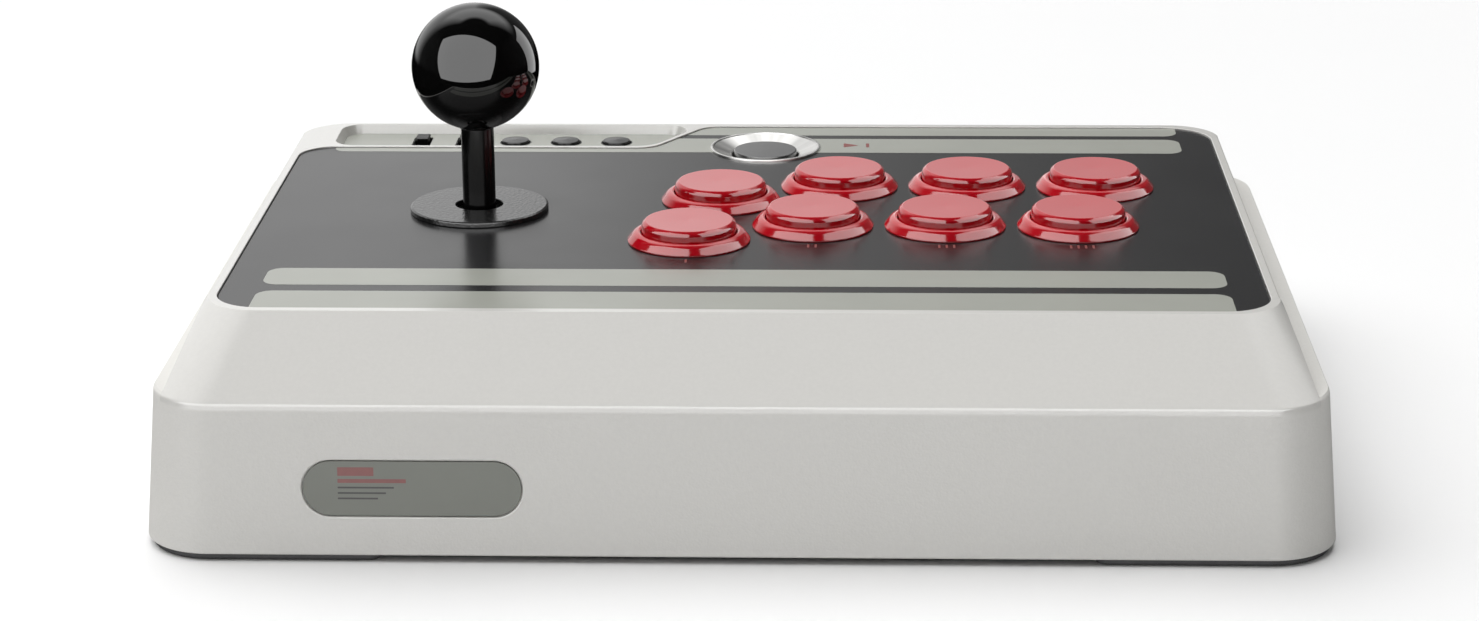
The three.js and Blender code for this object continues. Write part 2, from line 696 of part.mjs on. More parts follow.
function buttonSwitch() {
  const { w, d, low, high } = SWITCH;
  const body = block([-w / 2, -d / 2, low], [w / 2, d / 2, high]);
  const blades = [-3.5, 3.5].map((x) => block([x - 0.4, -1.5, low - 5], [x + 0.4, 1.5, low + 0.1]));
  return joined(body, ...blades);
}

function addButtons() {
  const [housing, plunger, contact] = [buttonHousing(), buttonPlunger(), buttonSwitch()];
  BUTTONS.forEach(([x, y], i) => {
    addPiece("button_housing_" + (i + 1), housing, RED_GLOSS, x, y);
    addPiece("button_plunger_" + (i + 1), plunger, RED_GLOSS, x, y);
    addPiece("button_switch_" + (i + 1), contact, BLACK_PLASTIC, x, y);
  });
}

// ---- Start button ----
function startBezel() {
  const seat = PANEL_Z + GAP;
  const lip = PANEL_Z + START_LIP;
  return turned([
    [START_BORE_R, START_LOW_Z],
    [START_BARREL_R, START_LOW_Z],
    [START_BARREL_R, seat],
    [START_BEZEL_R, seat],
    [START_BEZEL_R - 0.15, lip],
    [START_BEZEL_R - 0.6, lip],
    [START_BORE_R + 0.3, START_CAP_Z - 0.1],
    [START_BORE_R, START_CAP_Z - 0.4],
    [START_BORE_R, START_LOW_Z],
  ]);
}

function startCap() {
  const top = START_CAP_Z;
  return turned([
    [0, 44.6],
    [2.5, 44.6],
    [2.5, 50],
    [START_CAP_R, 50],
    [START_CAP_R, top - 0.3],
    [START_CAP_R - 0.3, top],
    [0, top],
  ]);
}

function startSwitch() {
  const boardTop = START_SWITCH_Z + BOARD_T;
  const board = block([-11, -9, START_SWITCH_Z], [11, 9, boardTop]);
  const button = block([-3, -3, boardTop - 0.1], [3, 3, boardTop + 3.5]);
  const holders = [-1, 1].map((side) =>
    post(2, boardTop - 0.1, START_LOW_Z - GAP, side * 8.4, 0, 12),
  );
  return joined(board, button, ...holders);
}

function addStart() {
  addPiece("start_bezel", startBezel(), SATIN_BEZEL, START.x, START.y);
  addPiece("start_cap", startCap(), GREY_TRIM, START.x, START.y);
  addPiece("start_switch", startSwitch(), BOARD_GREEN, START.x, START.y);
}

// ---- Controls in the strip ----
function stripButton() {
  const [r, top] = [STRIP_BUTTON_R, STRIP_BUTTON_TOP_Z];
  const low = MAIN_BOARD_Z + BOARD_T + 3.4;
  return turned(
    [
      [0, low],
      [1.8, low],
      [1.8, 50],
      [r, 50],
      [r, top - 0.9],
      [r - 0.9, top - 0.25],
      [0, top],
    ],
    SMALL_ROUND,
  );
}

// A ribbed knob above the strip, on a narrow tongue that reaches its switch.
function sliderKnob() {
  const [w, d] = SLIDER_KNOB;
  const tongue = block([-1, -1.2, MAIN_BOARD_Z + BOARD_T + 2.6], [1, 1.2, 51]);
  const head = block([-w / 2, -d / 2, 50.9], [w / 2, d / 2, SLIDER_TOP_Z]);
  const ribs = [-1.2, 0, 1.2].map((y) =>
    block([-w, y - 0.25, SLIDER_TOP_Z - 0.4], [w, y + 0.25, SLIDER_TOP_Z + 1]),
  );
  return cut(joined(tongue, head), ...ribs);
}

function addStripControls() {
  SLIDER_X.forEach((x, i) => {
    addPiece("slide_switch_" + (i + 1), sliderKnob(), BLACK_PLASTIC, x, SLIDER_Y);
  });
  STRIP_BUTTON_X.forEach((x, i) => {
    addPiece("strip_button_" + (i + 1), stripButton(), GLOSS_BLACK, x, STRIP_CONTROL_Y);
  });
}

addCase();
addElectronics();
addLever();
addButtons();
addStart();
addStripControls();

export default model;
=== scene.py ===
"""The looks of the arcade joystick panel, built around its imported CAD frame.

Lengths in the modelling code are millimetres in the row frame, and MM turns them into metres.
+X is the player's right, -Y faces the player and +Z is up.
"""

import json
import math

import bmesh
import bpy
from mathutils import Matrix, Vector

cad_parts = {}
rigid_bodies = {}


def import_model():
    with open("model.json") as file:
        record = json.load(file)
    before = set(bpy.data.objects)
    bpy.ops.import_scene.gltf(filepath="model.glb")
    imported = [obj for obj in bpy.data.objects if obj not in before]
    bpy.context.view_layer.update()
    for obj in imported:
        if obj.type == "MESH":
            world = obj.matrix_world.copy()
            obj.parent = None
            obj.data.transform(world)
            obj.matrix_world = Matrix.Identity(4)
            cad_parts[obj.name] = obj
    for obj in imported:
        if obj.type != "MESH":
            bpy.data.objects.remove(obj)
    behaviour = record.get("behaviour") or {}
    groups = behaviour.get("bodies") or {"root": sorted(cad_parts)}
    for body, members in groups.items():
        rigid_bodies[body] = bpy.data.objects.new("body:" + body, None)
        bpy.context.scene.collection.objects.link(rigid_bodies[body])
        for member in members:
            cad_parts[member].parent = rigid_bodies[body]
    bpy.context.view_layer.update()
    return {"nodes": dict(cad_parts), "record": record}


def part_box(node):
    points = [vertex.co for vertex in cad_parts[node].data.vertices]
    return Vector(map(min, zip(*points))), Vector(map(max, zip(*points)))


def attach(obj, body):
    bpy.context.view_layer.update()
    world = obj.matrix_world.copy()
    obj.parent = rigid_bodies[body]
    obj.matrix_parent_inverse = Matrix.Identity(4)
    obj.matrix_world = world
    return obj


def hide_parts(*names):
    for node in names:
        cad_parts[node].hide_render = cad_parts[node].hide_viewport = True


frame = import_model()

MM = 0.001


def corners_mm(node):
    """The lowest and highest corners of a CAD node, in millimetres."""
    low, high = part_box(node)
    return low / MM, high / MM


def middle_mm(node):
    low, high = corners_mm(node)
    return (low + high) / 2


# ---- Sizes, worked out from the frame where a node gives them ----
CASE_LOW, CASE_HIGH = corners_mm("top_case")
PANEL_LOW, PANEL_HIGH = corners_mm("control_panel")
STRIP_LOW, STRIP_HIGH = corners_mm("control_strip")
RIM_Z = CASE_HIGH.z
PANEL_Z = PANEL_HIGH.z
STRIP_Z = STRIP_HIGH.z
LEVER = middle_mm("ball_top")
BALL_R = (corners_mm("ball_top")[1].x - corners_mm("ball_top")[0].x) / 2
START = middle_mm("start_bezel")
BUTTONS = [middle_mm(f"button_housing_{n}") for n in range(1, 9)]

# The case's outlines, each with its half width, front and back edges, corner radius and height.
SHOULDER = {"x": 147.0, "front": -108.0, "back": 109.5, "r": 17.0, "z": 40.3}
RIM = {"x": 137.1, "front": -80.2, "back": 107.5, "r": 14.0, "z": RIM_Z}
BASE = {"x": CASE_HIGH.x, "front": CASE_LOW.y, "back": CASE_HIGH.y, "r": 18.0, "z": CASE_LOW.z}
# The hollow inside the case, from its open bottom up to the deck.
CAVITY = [
    {"x": 147.3, "front": -108.3, "back": 108.3, "r": 15.5, "z": CASE_LOW.z - 1},
    {"x": 144.4, "front": -105.4, "back": 107.0, "r": 14.5, "z": 37.6},
    {"x": 134.6, "front": -105.2, "back": 106.9, "r": 12.5, "z": 38.6},
    {"x": 134.5, "front": -83.4, "back": 105.0, "r": 12.0, "z": 49.0},
]
LEDGE_Z = 40.9
# The panel's back left is cut away for the control strip, up to NOTCH_Y and slanting between the two x.
NOTCH_Y = 80.0
NOTCH_X = (-31.0, -16.0)
PANEL_SEAT_Z = PANEL_LOW.z - 0.3
STRIP_SEAT_Z = STRIP_LOW.z - 0.3
STRIP_WALL_LEAN = 1.2
STRIP_INSET = 0.8
MOUTH_Z = RIM_Z - 0.6
UNDER_DECK_Z = 45
HOLE_R = {"button": 15.1, "start": 15.2, "lever": 13.0, "strip_button": 4.7}
SLOT_HALF = (2.8, 5.3)
SLOT_Y = 95.2
LABEL = middle_mm("front_label")
# The raised top's sides are straight behind SEAM_TURN_Y and spread by SEAM_SLANT in front of it.
SEAM_W = 0.45
SEAM_TURN_Y = -66.2
SEAM_SLANT = 0.183
STRIP_BUTTONS = (1, 2, 3)
SLIDES = (1, 2)
CASE_CORNERS = ("front_left", "front_right", "back_right", "back_left")

# Shading splits at edges sharper than this, and round pieces keep more of their turns smooth.
SMOOTH_ANGLE = math.radians(32)
ROUND_ANGLE = math.radians(40)
# A turned cap closes on a tiny flat at its axis. Rounded edges and mouths are small and have few steps.
AXIS_R = 0.05
EDGE_STEPS = 3
MOUTH_STEPS = 4
CORNER_TO_EDGE = 1.6
FINE_SIDES = 96
FINEST_SIDES = 112
# The underside of what rests on the panel, just clear of it.
ON_PANEL_Z = PANEL_Z + 0.02


# ---- Outlines ----
def rounded(corners, closed=True, steps=6):
    """Straight lines between corners (x, y, radius) or (x, y, z, radius), each corner turned by an arc."""
    points = []
    last = len(corners) - 1
    for i, corner in enumerate(corners):
        here = Vector(corner[:-1])
        radius = corner[-1]
        if radius == 0 or (not closed and i in (0, last)):
            points.append(here)
            continue
        back = (Vector(corners[i - 1][:-1]) - here).normalized()
        ahead = (Vector(corners[(i + 1) % len(corners)][:-1]) - here).normalized()
        turn = math.pi - back.angle(ahead)
        reach = radius * math.tan(turn / 2)
        pull = reach * (1 - 4 / 3 * math.tan(turn / 4) / math.tan(turn / 2))
        start, end = here + back * reach, here + ahead * reach
        handle_a, handle_b = here + back * pull, here + ahead * pull
        for step in range(steps + 1):
            t = step / steps
            s = 1 - t
            near = start * s**3 + handle_a * (3 * s * s * t)
            points.append(near + handle_b * (3 * s * t * t) + end * t**3)
    return points


def grown(outline, margin):
    """A closed anticlockwise outline moved outwards by a margin."""
    points = []
    count = len(outline)
    for i, here in enumerate(outline):
        along = outline[(i + 1) % count] - outline[i - 1]
        normal = Vector((along.y, -along.x)).normalized()
        points.append(here + normal * margin)
    return points


def rectangle(low_x, low_y, high_x, high_y, radius=0.0, steps=6):
    """An anticlockwise rectangle, each corner turned by the same radius."""
    corners = [(low_x, low_y), (high_x, low_y), (high_x, high_y), (low_x, high_y)]
    return rounded([(*corner, radius) for corner in corners], steps=steps)


def level_outline(level, steps=16):
    """The case's outline at one height."""
    return rectangle(-level["x"], level["front"], level["x"], level["back"], level["r"], steps)


def panel_outline():
    x, front, back = PANEL_HIGH.x, PANEL_LOW.y, PANEL_HIGH.y
    return rounded(
        [
            (-x, front, 12),
            (x, front, 12),
            (x, back, 14),
            (NOTCH_X[1], back, 8),
            (NOTCH_X[0], NOTCH_Y, 8),
            (-x, NOTCH_Y, 10),
        ],
        steps=14,
    )


def strip_outline():
    x, front, back = STRIP_LOW.x + STRIP_INSET, STRIP_LOW.y, STRIP_HIGH.y
    return rounded([(x, front, 5), (-32.2, front, 8), (-19.5, back, 5), (x, back, 5)], steps=12)


def at_height(outline, z):
    return [(p.x, p.y, z) for p in outline]


def circle(x, y, radius, z, sides=64):
    turns = [2 * math.pi * i / sides for i in range(sides)]
    return [(x + radius * math.cos(turn), y + radius * math.sin(turn), z) for turn in turns]


def pill_outline(half_w, half_h):
    return rectangle(-half_w, -half_h, half_w, half_h, half_h - 0.05, steps=24)


# ---- Meshes ----
def skin(name, rings, closed=False):
    """A closed mesh skinned over rings with equal numbers of points, in millimetres."""
    bm = bmesh.new()
    loops = [[bm.verts.new(Vector(p) * MM) for p in ring] for ring in rings]
    pairs = list(zip(loops, loops[1:]))
    if closed:
        pairs.append((loops[-1], loops[0]))
    for low, high in pairs:
        for i in range(len(low)):
            j = (i + 1) % len(low)
            bm.faces.new((low[i], low[j], high[j], high[i]))
    if not closed:
        bm.faces.new(loops[0][::-1])
        bm.faces.new(loops[-1])
    bmesh.ops.recalc_face_normals(bm, faces=bm.faces)
    mesh = bpy.data.meshes.new(name)
    bm.to_mesh(mesh)
    bm.free()
    obj = bpy.data.objects.new(name, mesh)
    bpy.context.scene.collection.objects.link(obj)
    return obj


def turned(name, profile, x=0.0, y=0.0, closed=False, sides=72):
    """A round piece from a profile of Vector((radius, height)) listed up its outside."""
    return skin(name, [circle(x, y, p.x, p.y, sides) for p in profile], closed)


def slab(name, outline, low, high, edge=0.0):
    """A plate with an outline, whose top edge is rounded by a small radius."""
    rings = [at_height(outline, low)]
    if edge == 0:
        rings.append(at_height(outline, high))
    for step in range(EDGE_STEPS + 1 if edge else 0):
        angle = math.pi / 2 * step / EDGE_STEPS
        inset = edge * (1 - math.cos(angle))
        rings.append(at_height(grown(outline, -inset), high - edge + edge * math.sin(angle)))
    return skin(name, rings)


def box_piece(name, low, high, edge=0.0):
    """A box whose upright edges and top edge are rounded. The corners turn wider than the top edge does."""
    outline = rectangle(low[0], low[1], high[0], high[1], edge * CORNER_TO_EDGE, steps=4)
    return slab(name, outline, low[2], high[2], edge)


def combine(obj, tools, operation):
    """Cuts tools out of obj or joins them to it, and removes them."""
    for tool in tools:
        modifier = obj.modifiers.new("carve", "BOOLEAN")
        modifier.operation = operation
        modifier.solver = "EXACT"
        modifier.object = tool
    depsgraph = bpy.context.evaluated_depsgraph_get()
    mesh = bpy.data.meshes.new_from_object(obj.evaluated_get(depsgraph))
    obj.modifiers.clear()
    old = obj.data
    obj.data = mesh
    bpy.data.meshes.remove(old)
    for tool in tools:
        bpy.data.meshes.remove(tool.data)


def cut(obj, *tools):
    combine(obj, tools, "DIFFERENCE")


def join(obj, *tools):
    combine(obj, tools, "UNION")


def shade(obj, angle=SMOOTH_ANGLE):
    """Smooth shading with sharp edges kept, and large flat faces ruling the normals beside them."""
    obj.data.shade_smooth()
    obj.data.set_sharp_from_angle(angle=angle)
    weighted = obj.modifiers.new("weighted", "WEIGHTED_NORMAL")
    weighted.keep_sharp = True
    weighted.weight = 80


def publish(obj, body, slot, material, *nodes, angle=SMOOTH_ANGLE):
    """Finishes a piece: its shading, material, body and the CAD nodes it stands for. Its slot argument is
    not used.
    """
    shade(obj, angle)
    obj.data.materials.clear()
    obj.data.materials.append(material)
    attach(obj, body)
    if nodes:
        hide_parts(*nodes)


# ---- Materials ----
class Surface:
    """A Principled material whose colour, roughness and bump come from noise in object space."""

    def __init__(self, name, color, roughness, metallic=0.0):
        self.material = bpy.data.materials.new(name)
        self.material.use_nodes = True
        self.nodes = self.material.node_tree.nodes
        self.links = self.material.node_tree.links
        self.shader = self.nodes["Principled BSDF"]
        self.set("Base Color", (*color, 1))
        self.set("Roughness", roughness)
        self.set("Metallic", metallic)
        self.color = color
        self.roughness = roughness
        self.coords = self.nodes.new("ShaderNodeTexCoord").outputs["Object"]
        self.height = None

    def set(self, socket, value):
        self.shader.inputs[socket].default_value = value

    def noise(self, scale, detail=2.0, stretch=(1, 1, 1)):
        mapping = self.nodes.new("ShaderNodeMapping")
        mapping.inputs["Scale"].default_value = stretch
        texture = self.nodes.new("ShaderNodeTexNoise")
        texture.inputs["Scale"].default_value = scale
        texture.inputs["Detail"].default_value = detail
        self.links.new(self.coords, mapping.inputs["Vector"])
        self.links.new(mapping.outputs["Vector"], texture.inputs["Vector"])
        return texture.outputs["Fac"]

    def ranged(self, source, low, high, start=0.3, end=0.7):
        node = self.nodes.new("ShaderNodeMapRange")
        node.inputs["From Min"].default_value = start
        node.inputs["From Max"].default_value = end
        node.inputs["To Min"].default_value = low
        node.inputs["To Max"].default_value = high
        self.links.new(source, node.inputs["Value"])
        return node.outputs["Result"]

    def maths(self, operation, *values):
        node = self.nodes.new("ShaderNodeMath")
        node.operation = operation
        for socket, value in zip(node.inputs, values):
            if isinstance(value, float):
                socket.default_value = value
            else:
                self.links.new(value, socket)
        return node.outputs["Value"]

    def vary_color(self, source, amount):
        """The colour gets darker and lighter by a share of itself."""
        ramp = self.nodes.new("ShaderNodeValToRGB")
        ramp.color_ramp.elements[0].position = 0.3
        ramp.color_ramp.elements[1].position = 0.7
        ramp.color_ramp.elements[0].color = (*[c * (1 - amount) for c in self.color], 1)
        ramp.color_ramp.elements[1].color = (*[min(1.0, c * (1 + amount)) for c in self.color], 1)
        self.links.new(source, ramp.inputs["Fac"])
        self.links.new(ramp.outputs["Color"], self.shader.inputs["Base Color"])

    def vary_roughness(self, source, amount):
        value = self.ranged(source, self.roughness - amount, self.roughness + amount)
        self.links.new(value, self.shader.inputs["Roughness"])

    def bump(self, source, depth_mm, strength=1.0):
        node = self.nodes.new("ShaderNodeBump")
        node.inputs["Strength"].default_value = strength
        node.inputs["Distance"].default_value = depth_mm * MM
        self.links.new(source, node.inputs["Height"])
        if self.height is not None:
            self.links.new(self.height, node.inputs["Normal"])
        self.height = node.outputs["Normal"]
        self.links.new(self.height, self.shader.inputs["Normal"])


def case_plastic():
    """Grained on the lower shell and its side ledges, and smoother with a clear coat on the raised top."""
    surface = Surface("case_plastic", (0.675, 0.665, 0.637), 0.42)
    split = surface.nodes.new("ShaderNodeSeparateXYZ")
    surface.links.new(surface.coords, split.inputs["Vector"])
    below = surface.ranged(split.outputs["Z"], 1.0, 0.0, 38.6 * MM, 39.2 * MM)
    ahead = surface.maths("MAXIMUM", surface.maths("SUBTRACT", SEAM_TURN_Y * MM, split.outputs["Y"]), 0.0)
    seam = surface.maths("MULTIPLY_ADD", ahead, SEAM_SLANT, (RIM["x"] + 0.1) * MM)
    beyond = surface.maths("SUBTRACT", surface.maths("ABSOLUTE", split.outputs["X"]), seam)
    side = surface.ranged(beyond, 0.0, 1.0, 0.0, 0.2 * MM)
    shell = surface.maths("MAXIMUM", below, side)
    surface.vary_color(surface.noise(900, 4), 0.015)
    gloss = surface.ranged(shell, 0.3, 0.47, 0.0, 1.0)
    surface.links.new(surface.ranged(shell, 0.9, 0.0, 0.0, 1.0), surface.shader.inputs["Coat Weight"])
    surface.set("Coat Roughness", 0.2)
    mottle = surface.ranged(surface.noise(700, 2), -0.02, 0.02)
    surface.links.new(surface.maths("ADD", gloss, mottle), surface.shader.inputs["Roughness"])
    amount = surface.ranged(shell, 0.1, 1.0, 0.0, 1.0)
    surface.bump(surface.maths("MULTIPLY", surface.noise(1700, 2), amount), 0.1, 0.6)
    return surface.material


def panel_black():
    surface = Surface("panel_black", (0.013, 0.013, 0.0135), 0.24)
    surface.vary_roughness(surface.noise(35, 3), 0.02)
    surface.bump(surface.noise(2600, 1), 0.01, 0.2)
    return surface.material


def printed_grey():
    surface = Surface("printed_grey", (0.355, 0.363, 0.325), 0.25)
    surface.vary_color(surface.noise(45, 3), 0.03)
    surface.bump(surface.noise(2600, 1), 0.01, 0.2)
    return surface.material


def printed_red():
    surface = Surface("printed_red", (0.20, 0.05, 0.045), 0.4)
    surface.vary_color(surface.noise(400, 2), 0.06)
    return surface.material


def label_grey():
    surface = Surface("label_grey", (0.155, 0.163, 0.138), 0.4)
    surface.vary_color(surface.noise(70, 3), 0.03)
    surface.bump(surface.noise(2200, 1), 0.01, 0.3)
    return surface.material


def button_red():
    surface = Surface("button_red", (0.50, 0.002, 0.010), 0.11)
    surface.vary_color(surface.noise(50, 2), 0.03)
    surface.vary_roughness(surface.noise(90, 3), 0.015)
    surface.set("Coat Weight", 0.4)
    surface.set("Coat Roughness", 0.08)
    return surface.material


def gloss_black():
    surface = Surface("gloss_black", (0.0035, 0.0035, 0.0035), 0.035)
    surface.vary_roughness(surface.noise(40, 3), 0.012)
    return surface.material


def key_black():
    surface = Surface("key_black", (0.006, 0.006, 0.006), 0.16)
    surface.vary_roughness(surface.noise(300, 3), 0.02)
    return surface.material


def shaft_black():
    surface = Surface("shaft_black", (0.006, 0.006, 0.006), 0.14)
    surface.set("Specular IOR Level", 0.15)
    surface.vary_roughness(surface.noise(220, 3, (1, 1, 0.15)), 0.04)
    surface.bump(surface.noise(500, 2, (1, 1, 0.05)), 0.01, 0.15)
    return surface.material


def washer_black():
    surface = Surface("washer_black", (0.02, 0.02, 0.02), 0.18)
    surface.set("Specular IOR Level", 1.0)
    grain = surface.noise(1100, 2)
    surface.vary_color(grain, 0.5)
    surface.vary_roughness(grain, 0.06)
    surface.bump(grain, 0.12, 0.8)
    return surface.material


def satin_black():
    surface = Surface("satin_black", (0.018, 0.018, 0.018), 0.4)
    surface.vary_roughness(surface.noise(300, 3), 0.06)
    surface.bump(surface.noise(1500, 2), 0.02, 0.3)
    return surface.material


def base_plastic():
    surface = Surface("base_plastic", (0.035, 0.035, 0.037), 0.6)
    grain = surface.noise(1400, 2)
    surface.vary_color(grain, 0.2)
    surface.bump(grain, 0.08, 0.5)
    return surface.material


def foot_rubber():
    surface = Surface("foot_rubber", (0.05, 0.05, 0.052), 0.75)
    surface.vary_color(surface.noise(250, 3), 0.2)
    surface.bump(surface.noise(1600, 2), 0.05, 0.5)
    return surface.material


def start_black():
    surface = Surface("start_black", (0.045, 0.045, 0.045), 0.2)
    surface.vary_roughness(surface.noise(300, 3), 0.03)
    surface.bump(surface.noise(1800, 2), 0.01, 0.2)
    surface.set("Specular IOR Level", 1.0)
    surface.set("Coat Weight", 0.6)
    surface.set("Coat Roughness", 0.15)
    return surface.material


def bright_steel():
    surface = Surface("bright_steel", (0.62, 0.62, 0.63), 0.28, 1.0)
    surface.vary_roughness(surface.noise(500, 3, (1, 1, 0.1)), 0.08)
    surface.bump(surface.noise(900, 2, (1, 1, 0.05)), 0.01, 0.3)
    return surface.material


def zinc_steel():
    surface = Surface("zinc_steel", (0.42, 0.42, 0.41), 0.38, 1.0)
    surface.vary_roughness(surface.noise(700, 3), 0.08)
    return surface.material


def spun_metal():
    """Bright metal turned on a lathe, with its sheen painted into the colour: bright and dark sectors come
    and go round the start button's axis.
    """
    surface = Surface("spun_metal", (0.62, 0.615, 0.60), 0.33, 1.0)
    mapping = surface.nodes.new("ShaderNodeMapping")
    mapping.inputs["Location"].default_value = (-START.x * MM, -START.y * MM, 0)
    gradient = surface.nodes.new("ShaderNodeTexGradient")
    gradient.gradient_type = "RADIAL"
    surface.links.new(surface.coords, mapping.inputs["Vector"])
    surface.links.new(mapping.outputs["Vector"], gradient.inputs["Vector"])
    painted_sheen = surface.nodes.new("ShaderNodeTexNoise")
    painted_sheen.noise_dimensions = "1D"
    painted_sheen.inputs["Scale"].default_value = 9
    painted_sheen.inputs["Detail"].default_value = 3
    surface.links.new(gradient.outputs["Fac"], painted_sheen.inputs["W"])
    # Painted sheen: the colour gets lighter and darker in sectors round the axis, standing in for the
    # turned metal's highlights.
    surface.vary_color(painted_sheen.outputs["Fac"], 0.3)
    surface.vary_roughness(painted_sheen.outputs["Fac"], 0.03)
    return surface.material


def circuit_green():
    surface = Surface("circuit_green", (0.015, 0.10, 0.04), 0.45)
    surface.vary_color(surface.noise(350, 2), 0.3)
    return surface.material


def battery_wrap():
    surface = Surface("battery_wrap", (0.10, 0.12, 0.14), 0.35)
    surface.vary_color(surface.noise(120, 2), 0.1)
    return surface.material


MATERIALS = {
    make.__name__: make()
    for make in (
        case_plastic,
        panel_black,
        printed_grey,
        printed_red,
        label_grey,
        button_red,
        gloss_black,
        key_black,
        shaft_black,
        washer_black,
        satin_black,
        base_plastic,
        foot_rubber,
        start_black,
        bright_steel,
        zinc_steel,
        spun_metal,
        circuit_green,
        battery_wrap,
    )
}


# ---- Case ----
def case_solid():
    """The outside of the case: walls, shoulder and sloped top, with every edge turned by a fillet."""
    bottom = level_outline(BASE)
    shoulder = level_outline(SHOULDER)
    rim = level_outline(RIM)
    bottom_in = grown(bottom, -0.8)
    rim_in = grown(rim, -2.0)
    columns = []
    for i, p in enumerate(bottom):
        columns.append(
            rounded(
                [
                    (*bottom_in[i], BASE["z"], 0),
                    (*p, BASE["z"], 0.5),
                    (*shoulder[i], SHOULDER["z"], 0.9),
                    (*rim[i], RIM_Z, 0.3),
                    (*rim_in[i], RIM_Z, 0),
                ],
                closed=False,
                steps=5,
            )
        )
    return skin("top_case_skin", list(zip(*columns)))


def recess_tool(outline, floor_z, wall_z, lean, edge=0.2):
    """A cutter for a recess: upright to wall_z, leaning out above it, with a rounded mouth at the rim."""
    rings = [at_height(outline, floor_z), at_height(outline, wall_z)]
    for step in range(MOUTH_STEPS + 1):
        angle = math.pi / 2 * step / MOUTH_STEPS
        out = lean + edge * (1 - math.cos(angle))
        rings.append(at_height(grown(outline, out), RIM_Z - edge + edge * math.sin(angle)))
    rings.append(at_height(grown(outline, lean + edge), RIM_Z + 1))
    return skin("tool", rings)


def ledge_tool(side):
    """The space beside the raised top, whose side flares at the front, above the lower shell's ledge."""
    far, out = 130, 160
    flare = RIM["x"] + SEAM_SLANT * (far + SEAM_TURN_Y)
    corners = [(RIM["x"], far), (RIM["x"], SEAM_TURN_Y), (flare, -far), (out, -far), (out, far)]
    outline = [Vector((side * x, y)) for x, y in corners]
    if side < 0:
        outline.reverse()
    return recess_tool(outline, LEDGE_Z, MOUTH_Z, 0, edge=0.5)


def round_tool(x, y, radius, low, high):
    return skin("tool", [circle(x, y, radius, low), circle(x, y, radius, high)])


def deck_hole_tools(low, high):
    tools = [round_tool(b.x, b.y, HOLE_R["button"], low, high) for b in BUTTONS]
    tools.append(round_tool(START.x, START.y, HOLE_R["start"], low, high))
    tools.append(round_tool(LEVER.x, LEVER.y, HOLE_R["lever"], low, high))
    return tools


def strip_hole_tools(low, high):
    tools = []
    for n in STRIP_BUTTONS:
        at = middle_mm(f"strip_button_{n}")
        tools.append(round_tool(at.x, at.y, HOLE_R["strip_button"], low, high))
    half_w, half_d = SLOT_HALF
    for n in SLIDES:
        x = middle_mm(f"slide_switch_{n}").x
        outline = rectangle(x - half_w, SLOT_Y - half_d, x + half_w, SLOT_Y + half_d, 0.6, steps=4)
        tools.append(skin("tool", [at_height(outline, low), at_height(outline, high)]))
    return tools


def wall_frame():
    """The label's place: the middle of its outline on the sloping front wall, and the wall's lean."""
    lean = math.atan2(SHOULDER["front"] - BASE["front"], SHOULDER["z"] - BASE["z"])
    share = (LABEL.z - BASE["z"]) / (SHOULDER["z"] - BASE["z"])
    y = BASE["front"] + share * (SHOULDER["front"] - BASE["front"])
    turn = Matrix.Rotation(math.pi / 2 - lean, 3, "X")
    return Vector((LABEL.x, y, LABEL.z)), turn


def on_wall(outline, depth):
    """Puts a flat outline on the front wall, depth millimetres into it."""
    place, turn = wall_frame()
    return [place + turn @ Vector((p.x, p.y, -depth)) for p in outline]


def label_tool():
    """A cutter for the label's pill-shaped recess, with a rounded mouth."""
    outline = pill_outline(27.5, 7.3)
    edge = 0.4
    rings = [on_wall(outline, 1.1), on_wall(outline, 0.35)]
    for step in range(1, MOUTH_STEPS + 1):
        angle = math.pi / 2 * step / MOUTH_STEPS
        rings.append(on_wall(grown(outline, edge * (1 - math.cos(angle))), edge - edge * math.sin(angle)))
    rings.append(on_wall(grown(outline, edge), -2))
    return skin("tool", rings)


def seam_tool(side):
    """A hairline groove along the rim's outer edge and down the front corner to the shoulder."""
    # Each place on the groove, with the direction that leads out of the case there.
    path = [
        ((RIM["x"], RIM["back"] - 13, RIM_Z), (0.55, 0, 0.83)),
        ((RIM["x"], SEAM_TURN_Y, RIM_Z), (0.55, 0, 0.83)),
        ((138.9, -76.5, 51.9), (0.62, -0.3, 0.72)),
        ((141.0, -87.4, 46.9), (0.66, -0.38, 0.65)),
        ((143.4, -99.5, 41.0), (0.66, -0.4, 0.64)),
    ]
    rings = []
    for i, (place, out) in enumerate(path):
        here, out = Vector(place), Vector(out).normalized()
        along = Vector(path[min(i + 1, len(path) - 1)][0]) - Vector(path[max(i - 1, 0)][0])
        across = along.cross(out).normalized() * SEAM_W / 2
        section = (here - out - across, here - out + across, here + out + across, here + out - across)
        rings.append([(side * p.x, p.y, p.z) for p in section])
    return skin("tool", rings)


def inlet_tool():
    """A cutter for the back wall's opening round the inlet, which widens outwards."""
    low, high = corners_mm("inlet_port")
    gap = 0.3
    outline = rectangle(low.x - gap, low.z - gap, high.x + gap, high.z + gap, 1.6, steps=8)
    rings = []
    for grow, y in ((0, low.y - 1), (0, high.y - 0.5), (0.8, high.y + 0.6), (2.0, high.y + 3)):
        rings.append([(p.x, y, p.y) for p in grown(outline, grow)])
    return skin("tool", rings)


def case_piece():
    case = case_solid()
    cavity = skin("tool", [at_height(level_outline(level, 8), level["z"]) for level in CAVITY])
    tools = [
        cavity,
        recess_tool(grown(panel_outline(), 0.18), PANEL_SEAT_Z, MOUTH_Z, 0),
        recess_tool(grown(strip_outline(), 0.1), STRIP_SEAT_Z, STRIP_Z, STRIP_WALL_LEAN),
        label_tool(),
        inlet_tool(),
        ledge_tool(-1),
        ledge_tool(1),
        seam_tool(-1),
        seam_tool(1),
    ]
    tools += deck_hole_tools(UNDER_DECK_Z, RIM_Z + 1)
    tools += strip_hole_tools(UNDER_DECK_Z, RIM_Z)
    cut(case, *tools)
    publish(case, "cabinet", "case_plastic", MATERIALS["case_plastic"], "top_case")


